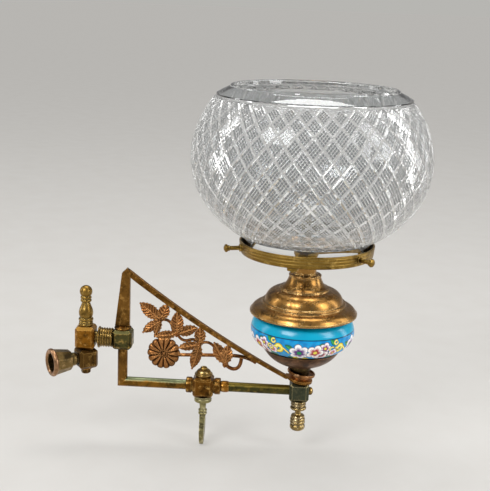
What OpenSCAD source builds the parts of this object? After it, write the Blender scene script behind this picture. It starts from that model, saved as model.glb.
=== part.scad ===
// Gas wall sconce: a single-swing gas bracket with a cut-glass globe.
// Millimetres. The origin is on the inlet's axis where its thread starts, just inside the mouth.
// +Y runs out from the wall and +Z is up. At rest the arm stands swung to +X, as in use.

/* [Wall inlet] */
// Radius at the crests of the inlet's female pipe thread
inlet_r = 7.5; // [6.5:0.1:8]
// Depth of the inlet's thread
inlet_depth = 12; // [9:0.5:14]
// Radius of the rolled ring round the mouth
mouth_r = 11.4; // [10.6:0.1:13]
// Distance between flats of the octagonal body at the mouth
octagon_w = 19.6; // [18.6:0.2:21]
// Distance between flats at the body's narrow end
octagon_w_end = 15.4; // [13:0.2:17]
// Length of the octagonal body behind the mouth ring
octagon_len = 13.6; // [13:0.2:16]
// Radius of the ball neck between body and block
ball_neck_r = 5.4; // [4.6:0.1:6.5]
// Distance from the thread's start to the swivel's axis
inlet_reach = 30; // [29:0.5:36]

/* [Blocks] */
// Width of the square blocks
block_w = 16; // [15.5:0.1:17]
// Chamfer on the blocks' edges
block_chamfer = 2.4; // [1.5:0.1:3]
// Height of the upper swivel block
swivel_block_h = 19; // [17.6:0.2:21]
// Running gap between the two swivel blocks
swivel_gap = 0.3; // [0.2:0.05:0.6]

/* [Swivel plug] */
// Radius of the swivel plug at its wide upper end
plug_r_top = 5.2; // [4.8:0.1:5.6]
// Radius of the swivel plug at its narrow lower end
plug_r_low = 4.2; // [3.8:0.1:4.6]
// Radius of the gas way inside the swivel plug
plug_way_r = 2.2; // [1.8:0.1:2.6]
// Radius of the tail that takes the washer and nut
plug_tail_r = 2.5; // [2:0.1:3]
// Radius of the swivel washer
swivel_washer_r = 5; // [4.6:0.1:6]
// Thickness of the swivel washer
swivel_washer_t = 0.8; // [0.6:0.1:1.4]
// Distance across the flats of the swivel nut
swivel_nut_w = 6.8; // [6.4:0.1:8]
// Thickness of the swivel nut
swivel_nut_h = 4; // [3:0.2:5]

/* [Swivel finial] */
// Radius of the finial's base rings
finial_base_r = 6; // [5.4:0.1:6.8]
// Height of the finial's base rings
finial_base_h = 6.4; // [5.6:0.2:7.5]
// Largest radius of the finial's vase
vase_r = 5.9; // [5.4:0.1:6.6]
// Height of the vase
vase_h = 13.4; // [12:0.2:15]
// Radius of the finial's collar
finial_collar_r = 4.5; // [4.1:0.1:5]
// Height of the finial's collar
finial_collar_h = 5; // [4:0.2:6]
// Radius of the finial's ball
finial_ball_r = 5.1; // [4.8:0.1:6]

/* [Arm] */
// Angle between the arm at rest and the straight-out direction
arm_angle = 35; // [10:1:60]
// Distance from the swivel's axis to the burner's axis
arm_reach = 175.4; // [170:0.5:185]
// Height of the arm's upper joint above the inlet's axis
upper_z = 18; // [17.6:0.1:19.5]
// Distance from the swivel's axis to the corner block's axis
corner_s = 30.3; // [29.5:0.1:34]
// Radius of the ribbed ferrule's neck
ferrule_neck_r = 5; // [4.5:0.1:6]
// Length of the ribbed ferrule's neck
ferrule_neck_len = 2.4; // [2:0.1:3]
// Radius of the ferrule's flange
ferrule_flange_r = 8.8; // [8.2:0.1:9]
// Thickness of the ferrule's flange
ferrule_flange_t = 1.4; // [1:0.1:2]
// Radius of the ferrule's ribs
rib_r = 7.9; // [7.2:0.1:8.4]
// Depth of the grooves between the ribs
rib_depth = 0.9; // [0.5:0.1:1.2]
// Number of ribs
rib_count = 5; // [3:1:7]

/* [Bracket] */
// Width of the upright at its foot
upright_foot_w = 11.8; // [10:0.2:13]
// Width of the upright at its top
upright_top_w = 6.6; // [5.5:0.1:8]
// Height of the bracket's apex above the inlet's axis
apex_z = 77; // [72:0.5:84]
// Thickness of the upright and the brace, across the arm
bar_depth = 4.2; // [3.5:0.1:5.5]
// Thickness of the brace at the apex, in the arm's plane
brace_t_top = 4.6; // [4:0.1:6]
// Thickness of the brace at the eye, in the arm's plane
brace_t_end = 2.6; // [2.4:0.1:3.4]
// Sag of the brace between its ends
brace_sag = 3.3; // [2:0.1:4]
// Radius of the domed collar under the upright
foot_collar_r = 7; // [6.4:0.1:7.6]
// Height of the domed collar
foot_collar_h = 2.8; // [2.2:0.1:4]
// Radius of the brace's eye
eye_r = 10.4; // [9.6:0.1:11.4]
// Thickness of the brace's eye
eye_t = 2; // [1.6:0.1:2.6]
// Slope at which the eye lies on the column
eye_slope = 10; // [4:1:12]
// Height of the eye's centre
eye_z = -9.1; // [-9.1:0.1:-8.4]

/* [Foliage] */
// Width of the broadest leaf
leaf_w = 10.5; // [9:0.1:12]
// Radius of the flower
flower_r = 13.3; // [12:0.1:14]
// Number of petals
petal_count = 14; // [10:1:16]
// Thickness of the flower at the crown of its petals
flower_t = 3.4; // [2.8:0.1:4]
// Radius of the main stem
stem_r = 1.35; // [1.2:0.05:1.6]
// Thickness of the leaves at their midrib
leaf_t = 2.6; // [2.2:0.1:3.2]
// Depth of the whole casting, from its back to the flower's heart
spray_t = 4.4; // [3.6:0.1:5.4]
// How far each leaf of a cluster lies behind the next
leaf_step = 0.19; // [0.1:0.01:0.25]

/* [Pipes] */
// Outer radius of the pipes
pipe_r = 4; // [3.7:0.1:4.3]
// Wall of the pipes
pipe_wall = 1; // [0.8:0.1:1.3]
// Depth of a pipe's socket
socket_depth = 4; // [3:0.5:5]
// Height of the lower pipe's axis
pipe_z = -19.2; // [-20.5:0.1:-18.6]

/* [Gas cock] */
// Distance from the swivel's axis to the cock's axis
cock_s = 97; // [90:0.5:104]
// Width of the cock's body
cock_w = 16.7; // [16.2:0.1:18]
// Radius of the collar on the swivel's side
cock_collar_r_in = 6.5; // [6:0.1:7.2]
// Radius of the collar on the burner's side
cock_collar_r_out = 6.8; // [6:0.1:7.2]
// Length of each collar
cock_collar_len = 5.8; // [5:0.1:7]
// Radius of the cock plug at its wide lower end
cock_plug_r_low = 4.8; // [4.4:0.1:5.2]
// Radius of the cock plug at its narrow upper end
cock_plug_r_top = 3.8; // [3.4:0.1:4.2]
// Radius of the way through the cock plug
cock_way_r = 2.4; // [2:0.1:2.8]
// Radius of the stop collar
stop_collar_r = 7.15; // [6.9:0.05:7.8]
// Height of the stop collar
stop_collar_h = 4.9; // [4.4:0.1:6]
// Radius of the stop pin
stop_pin_r = 1.1; // [0.8:0.05:1.2]
// Turn of the key from off to on
cock_turn = 90; // [80:1:100]
// Radius of the key's stem
key_stem_r = 3; // [2.6:0.1:3.4]
// Radius of the beads on the stem
key_bead_r = 3.6; // [3.2:0.1:4.2]
// Height of the stem above the key's plate
key_stem_h = 14.4; // [13:0.2:17]
// Width of the key's plate
key_w = 20; // [17:0.5:24]
// Height of the key's plate
key_h = 25; // [22:0.5:29]
// Thickness of the key's plate at its top
key_t = 4.8; // [4.2:0.1:5.6]
// Thickness of the key's plate at its lower edge
key_t_end = 2.8; // [2:0.1:3.4]
// Radius of the cock's tail cap
tail_cap_r = 7.4; // [6.8:0.1:8]
// Height of the cock's tail cap
tail_cap_h = 4.6; // [4:0.1:5.4]
// Radius of the tail screw's head
tail_screw_r = 3; // [2.6:0.1:3.4]
// Height of the tail screw's head
tail_screw_h = 2.4; // [1.8:0.1:3]
// Radius of the rounded ferrule beside the cock
pipe_ferrule_r = 4.7; // [4.5:0.1:5.2]
// Length of the rounded ferrule
pipe_ferrule_len = 6.8; // [5:0.2:8]

/* [End block] */
// Radius of the end screw's head
end_screw_r = 3.3; // [2.8:0.1:4]
// Height of the end screw's head
end_screw_h = 3.4; // [2.8:0.1:4.2]
// Radius of the tail finial's collar
tail_collar_r = 6.6; // [6:0.1:7]
// Height of the tail finial's collar
tail_collar_h = 8.4; // [7:0.2:9]
// Radius of the tail finial's neck
tail_neck_r = 2.4; // [2:0.1:3]
// Height of the tail finial's neck
tail_neck_h = 4.6; // [4:0.2:6]
// Radius of the tail finial's ribbed drop
drop_r = 6.25; // [5.6:0.1:7]
// Height of the tail finial's ribbed drop
drop_h = 13.6; // [12:0.2:16]

/* [Column] */
// Radius of the gas column
column_r = 4.8; // [4.4:0.1:5.2]
// Radius of the gas column's bore
column_bore_r = 3.4; // [2.8:0.1:3.8]
// Radius of the spacer above the eye
spacer_r = 7.4; // [6.8:0.1:8.2]
// Height of the spacer above the eye
spacer_h = 3.4; // [2.8:0.1:4]
// Radius of the cupped washer
cup_r = 11.4; // [10.6:0.1:12.4]
// Height of the cupped washer's rim
cup_h = 2.6; // [2.2:0.1:3.4]
// Thickness of the cupped washer's floor
cup_floor_t = 1.2; // [1:0.1:1.6]

/* [Dish and bowl] */
// Height of the bowl's foot above the inlet's axis
bowl_foot_z = 18.6; // [18:0.1:20.5]
// Radius of the bowl's foot
bowl_foot_r = 30.6; // [28:0.2:32]
// Radius of the bowl
bowl_r = 41.6; // [40:0.2:43]
// Height of the bowl's widest circle above its foot
bowl_mid_h = 15.4; // [14.6:0.1:16.2]
// Thickness of the bowl's wall
bowl_wall = 3.2; // [2.6:0.1:4]
// Radius of the bowl's mouth
bowl_mouth_r = 31; // [29:0.2:31.6]
// Thickness of the dish
dish_wall = 1.4; // [1.2:0.1:2]
// Radius of the dish where it meets its stem
dish_stem_r = 9; // [8.4:0.1:10]
// Radius of the stem at the cupped washer
bowl_stem_r = 7.3; // [6.8:0.1:8]

/* [Bowl cap] */
// How far the cap's rim stands out past the bowl
cap_rim_over = 1.3; // [0.6:0.1:2.5]
// Height of the cap's rim above the inlet's axis
cap_rim_z = 47.8; // [47:0.1:48.6]
// How far the cap's large bead stands out past the bowl's mouth
cap_bead_over = 2.6; // [2.2:0.1:3.2]
// Height of the large bead above the rim
cap_bead_h = 8.8; // [8.2:0.1:9.6]
// Radius of the cap's small bead
cap_small_r = 20; // [19:0.1:21]
// Height of the small bead above the large one
cap_small_h = 11.6; // [10.8:0.1:12.4]
// Radius of the cap's top collar
cap_top_r = 12.6; // [11.6:0.1:13.4]
// Height of the top collar above the small bead
cap_top_h = 11.4; // [10.6:0.1:12.2]
// Thickness of the spun sheet
cap_wall = 1; // [0.8:0.1:1.3]
// Radius of the neck tube
neck_tube_r = 8.7; // [8:0.1:9.4]

/* [Shade holder] */
// Radius of the glass shade's neck
fitter_r = 49.8; // [48.6:0.1:51]
// Gap between the glass and the ring's wall
fitter_gap = 1; // [0.8:0.1:1.6]
// Wall of the holder ring
ring_wall = 1.6; // [1.4:0.1:2]
// Height of the holder ring
ring_h = 9.8; // [9.2:0.1:11]
// Flare of the ring's wall between floor and lip
ring_flare = 1; // [0.6:0.1:1.6]
// Height of the ring's lip above the inlet's axis
ring_top_z = 106; // [105.4:0.2:110]
// Width of the ring's floor under the glass
ring_floor_w = 6; // [5:0.2:8]
// Thickness of the holder's arms
spider_t = 2.2; // [1.8:0.1:3]
// Width of the holder's arms
spider_w = 7; // [6:0.2:9]
// Radius of the holder's hub
hub_r = 10; // [9.4:0.1:12]
// Direction of the first thumbscrew, from the arm's outer end towards its open side
screw_angle = 43; // [38:1:48]
// Radius of a thumbscrew's shank
screw_r = 1.7; // [1.5:0.05:1.9]
// Length of shank between the ring and the head
screw_out = 10.6; // [9:0.2:13]
// Radius of a thumbscrew's head
screw_head_r = 3.2; // [2.8:0.1:3.8]
// Travel of a thumbscrew as it is undone
screw_travel = 4; // [3:0.5:5]

/* [Burner] */
// Radius of the burner pillar's foot
pillar_r = 7.2; // [6.6:0.1:9]
// Height of the burner pillar
pillar_h = 24; // [20:0.5:30]
// Radius of the burner tip
tip_r = 4; // [3.6:0.1:4.6]
// Height of the burner tip above the pillar
tip_h = 11; // [9:0.5:14]

/* [Glass shade] */
// Radius of the globe
globe_r = 93.8; // [90:0.2:96]
// Height of the globe's widest circle above the ring's lip
globe_mid_h = 65; // [62:0.5:68]
// Half height of the globe's lower oval
globe_drop = 72.5; // [70:0.5:76]
// Half height of the globe's upper oval
globe_rise = 79.5; // [76:0.5:84]
// Height of the globe's shoulder above its widest circle
shoulder_h = 46; // [43:0.5:48]
// Radius of the mouth's lip
lip_r = 64.8; // [62:0.2:67]
// Height of the lip above the shoulder
lip_h = 10.2; // [9:0.2:12]
// Thickness of the glass
glass_wall = 4; // [3:0.1:5]

/* [Hidden] */

// Fits: a turning or sliding fit, and the seam of a brazed or screwed one
run_gap = 0.05;
seam = 0.02;
// Gap that keeps moving pieces apart
move_gap = 0.3;
// How far a cut runs past the face it opens
past = 1;
$fn = 64;

// Colours as the object shows them
aged = "#8a6232";
bright = "#b98a45";
verdigris = "#5c6440";
copper = "#b97a45";
dark = "#3f3426";
enamel = "#18b5e0";
satin = "#8b7a35";

// Places worked out from the sizes above
mouth_roll_r = 1.9;
mouth_lead = 1.2;
octagon_y = mouth_roll_r * 1.7 - mouth_lead;
octagon_end_y = octagon_y + octagon_len;
base_half_h = block_w / 2 + 0.15;
block_z0 = base_half_h + swivel_gap;
block_z1 = block_z0 + swivel_block_h;
block_mid_z = (block_z0 + block_z1) / 2;
way_r = pipe_r - pipe_wall;
plug_stub_top = upper_z - way_r + 1;
corner_top_z = upper_z + block_w / 2;
corner_low_z = upper_z - block_w / 2;
ferrule_s0 = block_w / 2;
ferrule_s1 = corner_s - block_w / 2;
cock_low_z = pipe_z - cock_w / 2;
cock_top_z = pipe_z + cock_w / 2;
end_top_z = pipe_z + block_w / 2;
end_low_z = pipe_z - block_w / 2;
eye_top = eye_t / 2;
spacer_top = eye_top + spacer_h;
cup_floor_top = spacer_top + cup_floor_t;
stem_z0 = eye_z + cup_floor_top / cos(eye_slope);
dish_low_z = 3;
bowl_mid_z = bowl_foot_z + bowl_mid_h;
cap_r = bowl_r + cap_rim_over;
cap_bead_r = bowl_mouth_r + cap_bead_over;
cap_bead_z = cap_rim_z + cap_bead_h;
cap_small_z = cap_bead_z + cap_small_h;
cap_top_z = cap_small_z + cap_top_h;
ring_low_z = ring_top_z - ring_h;
ring_floor_z = ring_low_z + ring_wall;
shade_foot_z = ring_floor_z + move_gap;
ring_in_r = fitter_r + fitter_gap;
ring_out_r = ring_in_r + ring_wall + ring_flare;
screw_z = (ring_floor_z + ring_top_z) / 2;
spider_z = ring_low_z - spider_t;
pillar_top_z = ring_low_z + pillar_h;
globe_z = ring_top_z + globe_mid_h;
lip_z = globe_z + shoulder_h + lip_h;

// Points along an oval arc about [x, z], in n steps
function arc(centre, rx, rz, from, to, n = 12) =
    [for (i = [0:n]) let (a = from + (to - from) * i / n)
        [centre[0] + rx * cos(a), centre[1] + rz * sin(a)]];

// Points along a quadratic curve from p0 towards p1 and on to p2
function bend(p0, p1, p2, n = 10) =
    [for (i = [0:n]) let (t = i / n)
        (1 - t) * (1 - t) * p0 + 2 * t * (1 - t) * p1 + t * t * p2];

// A turned solid: the outline runs from foot to top and is closed along the axis
module turned(outline) {
    last = outline[len(outline) - 1];
    rotate_extrude()
        polygon(concat([[0, outline[0][1]]], outline, [[0, last[1]]]));
}

// Moves its children into the arm's frame: +X along the arm, the swivel's axis at X = 0
module on_arm() {
    translate([0, inlet_reach, 0]) rotate([0, 0, 90 - arm_angle]) children();
}

// Moves its children to the burner's axis
module on_column() {
    on_arm() translate([arm_reach, 0, 0]) children();
}

// Moves its children to the cock's axis
module on_cock() {
    on_arm() translate([cock_s, 0, 0]) children();
}

// Lays its children, made about Z, along the arm's pipes
module along_arm(z) {
    translate([0, 0, z]) rotate([0, 90, 0]) children();
}

// Tilts its children to the slope of the brace's eye
module on_eye() {
    on_column() translate([0, 0, eye_z]) rotate([0, eye_slope, 0]) children();
}

// The upright hole that lets the column through the tilted pieces of the clamp
module column_hole() {
    on_column() translate([0, 0, end_top_z]) cylinder(r = column_r + 0.1, h = 20);
}

// A rectangle with its corners cut off
module cut_rect(w, h, c) {
    polygon([[c - w / 2, -h / 2], [w / 2 - c, -h / 2], [w / 2, c - h / 2], [w / 2, h / 2 - c],
        [w / 2 - c, h / 2], [c - w / 2, h / 2], [-w / 2, h / 2 - c], [-w / 2, c - h / 2]]);
}

// A block about the origin with all its edges chamfered
module chamfered_block(w, h, c) {
    intersection() {
        linear_extrude(h, center = true) cut_rect(w, w, c);
        rotate([90, 0, 0]) linear_extrude(w, center = true) cut_rect(w, h, c);
        rotate([90, 0, 90]) linear_extrude(w, center = true) cut_rect(w, h, c);
    }
}

// Wall inlet

// The octagonal body tapers towards the ball neck, which is screwed into the swivel's base
module wall_coupling() {
    neck_y = inlet_reach - block_w / 2;
    neck_mid = (octagon_end_y + neck_y) / 2;
    taper = octagon_w_end / octagon_w;
    color(aged) rotate([-90, 0, 0]) difference() {
        union() {
            rotate_extrude() polygon(concat(
                [[inlet_r - 0.5, -mouth_lead]],
                arc([mouth_r - mouth_roll_r, mouth_roll_r - mouth_lead],
                    mouth_roll_r, mouth_roll_r, -90, 60, 8),
                [[octagon_w / 2 - 0.6, octagon_y + 0.6], [inlet_r - 0.5, octagon_y + 0.6]]));
            rotate([0, 0, 22.5]) translate([0, 0, octagon_y])
                linear_extrude(octagon_len, scale = taper)
                    circle(r = octagon_w / 2 / cos(22.5), $fn = 8);
            turned(concat(
                [[ball_neck_r - 1, octagon_end_y - 0.5]],
                arc([ball_neck_r - 2.6, neck_mid], 2.6, (neck_y - octagon_end_y) / 2, -70, 70, 8),
                [[ball_neck_r - 1.2, neck_y]]));
            cylinder(r = plug_way_r + 1.2, h = neck_y + 2 - seam);
        }
        translate([0, 0, -past]) cylinder(r = inlet_r, h = inlet_depth + past);
        rotate_extrude() polygon([[0, -mouth_lead - past], [inlet_r + 2.6, -mouth_lead - past],
            [inlet_r + 1.4, -mouth_lead], [inlet_r, 0], [0, 0]]);
        cylinder(r = plug_way_r, h = inlet_reach);
    }
}

// The fixed lower block, bored to the swivel plug's taper
module swivel_base() {
    color(dark) translate([0, inlet_reach, 0]) difference() {
        chamfered_block(block_w, 2 * base_half_h, block_chamfer);
        rotate_extrude() polygon([
            [0, -base_half_h - past],
            [plug_r_low + run_gap, -base_half_h - past],
            [plug_r_low + run_gap, -base_half_h],
            [plug_r_top + run_gap, base_half_h],
            [plug_r_top + run_gap, base_half_h + past],
            [0, base_half_h + past]]);
        translate([0, -block_w / 2 - past, 0]) rotate([-90, 0, 0])
            cylinder(r = plug_way_r + 1.2 + seam, h = past + 2);
        translate([0, -block_w / 2 - past, 0]) rotate([-90, 0, 0])
            cylinder(r = plug_way_r, h = block_w / 2 + past);
    }
}

// Swivel

// The tapered plug turns with the arm; gas enters by the groove round it and leaves at the top
module swivel_plug() {
    groove_h = 2 * plug_way_r + 1;
    color(bright) on_arm() difference() {
        turned([
            [plug_tail_r, -base_half_h - swivel_gap - swivel_washer_t - swivel_nut_h + 0.6],
            [plug_tail_r, -base_half_h - swivel_gap],
            [plug_r_low, -base_half_h],
            [plug_r_top, base_half_h],
            [plug_r_top, plug_stub_top]]);
        rotate_extrude() translate([(plug_r_top + plug_r_low) / 2 - 0.7, -groove_h / 2])
            square([2, groove_h]);
        rotate([90, 0, 0]) cylinder(r = plug_way_r, h = 2 * plug_r_top, center = true);
        cylinder(r = plug_way_r, h = plug_stub_top + past);
    }
}

module swivel_washer() {
    color(bright) on_arm() translate([0, 0, -base_half_h - swivel_gap - swivel_washer_t])
        difference() {
            cylinder(r = swivel_washer_r, h = swivel_washer_t);
            translate([0, 0, -past])
                cylinder(r = plug_tail_r + seam, h = swivel_washer_t + 2 * past);
        }
}

module swivel_nut() {
    nut_z = -base_half_h - swivel_gap - swivel_washer_t - swivel_nut_h;
    color(dark) on_arm() translate([0, 0, nut_z]) difference() {
        intersection() {
            cylinder(r = swivel_nut_w / 2 / cos(30), h = swivel_nut_h, $fn = 6);
            rotate_extrude() polygon([[0, 0], [swivel_nut_w / 2 - 0.3, 0],
                [swivel_nut_w / 2 + 0.6, 0.9], [swivel_nut_w / 2 + 0.6, swivel_nut_h],
                [0, swivel_nut_h]]);
        }
        translate([0, 0, 0.6]) cylinder(r = plug_tail_r + seam, h = swivel_nut_h);
    }
}

// The upper block turns with the plug; its front port feeds the ribbed ferrule
module swivel_block() {
    color(aged) on_arm() difference() {
        translate([0, 0, block_mid_z])
            chamfered_block(block_w, swivel_block_h, block_chamfer);
        translate([0, 0, block_z0 - past])
            cylinder(r = plug_r_top + seam, h = plug_stub_top - block_z0 + past + seam);
        translate([0, 0, block_z0]) cylinder(r = way_r, h = upper_z + way_r - block_z0);
        along_arm(upper_z) cylinder(r = way_r, h = block_w / 2 + past);
        translate([0, 0, block_z1 - 3]) cylinder(r = finial_stud_r + seam, h = 3 + past);
    }
}

finial_stud_r = 2.6;

// Turned vase-and-ball finial, with a stud that screws into the upper block
module swivel_finial() {
    base_z = block_z1;
    vase_z = base_z + finial_base_h;
    collar_z = vase_z + vase_h;
    ball_z = collar_z + finial_collar_h + finial_ball_r * 0.72;
    bead = finial_base_h / 6;
    ring = finial_collar_h / 4;
    color(bright) on_arm() turned(concat(
        [[finial_stud_r, base_z - 2.8], [finial_stud_r, base_z]],
        [[finial_base_r - 1, base_z]],
        arc([finial_base_r - bead, base_z + bead], bead, bead, -90, 90, 8),
        arc([finial_base_r - 1.2, base_z + 3 * bead], bead * 0.8, bead, -90, 90, 6),
        arc([finial_base_r - bead, base_z + 5 * bead], bead, bead, -90, 90, 8),
        [[vase_r * 0.78, vase_z]],
        bend([vase_r * 0.8, vase_z], [vase_r * 1.12, vase_z + vase_h * 0.3],
            [vase_r * 0.86, vase_z + vase_h * 0.6], 10),
        bend([vase_r * 0.86, vase_z + vase_h * 0.6], [vase_r * 0.62, vase_z + vase_h * 0.84],
            [vase_r * 0.54, collar_z], 8),
        arc([finial_collar_r - ring, collar_z + ring], ring, ring, -80, 80, 8),
        arc([finial_collar_r - ring, collar_z + 3 * ring], ring, ring, -80, 80, 8),
        arc([0, ball_z], finial_ball_r, finial_ball_r, -46, 89, 16)));
}

// Neck, flange and ribs, turned in one piece between the swivel and the corner block
module ribbed_ferrule() {
    flange_s = ferrule_s0 + ferrule_neck_len;
    rib_s = flange_s + ferrule_flange_t;
    pitch = (ferrule_s1 - rib_s) / rib_count;
    ribs = [for (i = [0:rib_count - 1])
        each concat(
            [[rib_r - rib_depth, rib_s + pitch * (i + 0.02)]],
            arc([rib_r - rib_depth, rib_s + pitch * (i + 0.5)], rib_depth, pitch * 0.36, -90, 90, 6),
            [[rib_r - rib_depth, rib_s + pitch * (i + 0.98)]])];
    color(bright) on_arm() along_arm(upper_z) difference() {
        turned(concat(
            [[ferrule_neck_r, ferrule_s0], [ferrule_neck_r - 0.5, ferrule_s0 + 1],
                [ferrule_neck_r, flange_s]],
            arc([ferrule_flange_r - ferrule_flange_t / 2, flange_s + ferrule_flange_t / 2],
                ferrule_flange_t / 2, ferrule_flange_t / 2, -90, 90, 6),
            ribs,
            [[rib_r - rib_depth, ferrule_s1]]));
        translate([0, 0, ferrule_s0 - past])
            cylinder(r = way_r, h = ferrule_s1 - ferrule_s0 + 2 * past);
    }
}

// Bracket

// Gas turns down in this block, from the ferrule to the drop pipe
module corner_block() {
    color(verdigris) on_arm() difference() {
        translate([corner_s, 0, upper_z]) chamfered_block(block_w, block_w, block_chamfer);
        along_arm(upper_z) cylinder(r = way_r, h = corner_s);
        translate([corner_s, 0, corner_low_z - past]) cylinder(r = way_r, h = upper_z - corner_low_z + past);
        translate([corner_s, 0, corner_low_z - past])
            cylinder(r = pipe_r + seam, h = socket_depth + past);
    }
}

// The domed collar that the upright stands on
module upright_foot() {
    color(bright) on_arm() translate([corner_s, 0, corner_top_z]) turned(concat(
        [[foot_collar_r - 0.6, 0]],
        arc([foot_collar_r - 1, 1], 1, 1, -60, 60, 6),
        bend([foot_collar_r - 1.2, foot_collar_h * 0.75],
            [foot_collar_r - 1.8, foot_collar_h], [foot_collar_r - 3, foot_collar_h], 6)));
}

upright_z = corner_top_z + foot_collar_h;
upright_right = corner_s + upright_foot_w / 2 - 0.4;
apex_s = upright_right - upright_top_w * 0.34;
brace_top = [upright_right, apex_z - 1.7];
brace_end = [arm_reach - eye_r * cos(eye_slope) + 0.8, eye_z + eye_r * sin(eye_slope)];
brace_dir = (brace_end - brace_top) / norm(brace_end - brace_top);
brace_out = [-brace_dir[1], brace_dir[0]];

// Upper edge of the brace at fraction t of its length
function brace_upper(t) =
    brace_top + t * (brace_end - brace_top) - 4 * brace_sag * t * (1 - t) * brace_out;

// Lower edge of the brace at fraction t of its length
function brace_lower(t) =
    brace_upper(t) - (brace_t_top + (brace_t_end - brace_t_top) * t) * brace_out;

// The flat bar tapers upwards to a mitred apex
module upright_bar() {
    left = upright_right - upright_foot_w;
    left_top = upright_right - upright_top_w;
    color(aged) on_arm() rotate([90, 0, 0])
        linear_extrude(bar_depth, center = true) polygon([
            [left, upright_z], [upright_right, upright_z], brace_top,
            [upright_right - 2.2, apex_z - 0.3], [apex_s, apex_z + 0.4],
            [left_top, apex_z - upright_top_w * 0.6]]);
}

// Outline of the brace in the arm's plane
module brace_outline() {
    steps = 16;
    polygon(concat(
        [for (i = [0:steps]) brace_upper(i / steps)],
        [for (i = [steps:-1:1]) brace_lower(i / steps)],
        [[upright_right, brace_lower(0)[1] - 1.6]]));
}

// All that lies above the brace's lower edge, which trims what is brazed under it
module over_brace_edge() {
    steps = 16;
    polygon(concat(
        [for (i = [0:steps]) brace_lower(i / steps)],
        [[brace_end[0], brace_top[1] + 20], [upright_right, brace_top[1] + 20]]));
}

// The long diagonal bar, flattened at its end into the eye that goes round the column
module brace_bar() {
    tongue_w = bar_depth + 3.6;
    color(aged) difference() {
        union() {
            on_arm() rotate([90, 0, 0]) linear_extrude(bar_depth, center = true) brace_outline();
            on_eye() {
                cylinder(r = eye_r, h = eye_t, center = true);
                translate([-eye_r - 1.2, -tongue_w / 2, -eye_t / 2])
                    cube([eye_r, tongue_w, eye_t]);
            }
        }
        column_hole();
        on_eye() translate([0, 0, eye_top]) cylinder(r = eye_r - 0.6, h = 20);
    }
}

// Foliage

// A leaf on [x, z] points: root, tip, greatest width, and how far its back is set in.
// It has crowned panels each side of a midrib
module leaf(root, tip, width, set_in) {
    run = norm(tip - root);
    turn = atan2(tip[1] - root[1], tip[0] - root[0]);
    rows = 8;
    side = [-1, -0.62, -0.22, 0, 0.22, 0.62, 1];
    crown = [0.22, 0.8, 0.62, 1, 0.62, 0.8, 0.22];
    cols = len(side);
    half = [for (i = [0:rows]) let (t = i / rows)
        width / 2 * (0.1 + 0.9 * pow(sin(180 * pow(t, 0.8)), 0.8)) * (1 - 0.82 * pow(t, 7))];
    lift = [for (i = [0:rows]) let (t = i / rows) 0.55 + 0.45 * sin(180 * pow(t, 0.7))];
    front = [for (i = [0:rows]) for (j = [0:cols - 1])
        [run * i / rows, -leaf_t * crown[j] * lift[i], half[i] * side[j]]];
    m = (rows + 1) * cols;
    back = concat(
        [for (i = [0:rows]) [run * i / rows, 0, -half[i]]],
        [for (i = [rows:-1:0]) [run * i / rows, 0, half[i]]]);
    last = m + 2 * rows + 1;
    faces = concat(
        [for (i = [0:rows - 1]) for (j = [0:cols - 2]) let (a = i * cols + j)
            each [[a, a + 1, a + cols + 1], [a, a + cols + 1, a + cols]]],
        [for (i = [0:rows - 1]) let (a = i * cols)
            each [[a, a + cols, m + i + 1], [a, m + i + 1, m + i]]],
        [for (i = [0:rows - 1]) let (a = i * cols + cols - 1)
            each [[a, last - i - 1, a + cols], [a, last - i, last - i - 1]]],
        [[for (j = [0:cols - 1]) cols - 1 - j, m, last]],
        [[for (j = [0:cols - 1]) rows * cols + j, last - rows, m + rows]],
        [[for (k = [m:last]) k]]);
    translate([root[0], -set_in, root[1]]) rotate([0, -turn, 0])
        polyhedron(concat(front, back), faces);
}

// A round stem of radius r swept along [x, z] points
module stem(points, r) {
    n = len(points);
    sides = 8;
    ring = [for (i = [0:n - 1])
        let (a = points[max(i - 1, 0)], b = points[min(i + 1, n - 1)],
            d = (b - a) / norm(b - a))
        for (k = [0:sides - 1]) let (q = 360 * (k + 0.5) / sides)
            [points[i][0] - d[1] * r * cos(q), -r * 0.65 + r * sin(q),
                points[i][1] + d[0] * r * cos(q)]];
    faces = concat(
        [for (i = [0:n - 2]) for (k = [0:sides - 1])
            let (a = i * sides + k, b = i * sides + (k + 1) % sides)
            each [[a, b, b + sides], [a, b + sides, a + sides]]],
        [[for (k = [sides - 1:-1:0]) k]],
        [[for (k = [0:sides - 1]) (n - 1) * sides + k]]);
    polyhedron(ring, faces);
}

// The swelling where the leaves of a cluster leave the stem
module bud(at) {
    lean = stem_r * [1.05, 1];
    stem([at - lean, at, at + lean], stem_r * 1.12);
}

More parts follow.
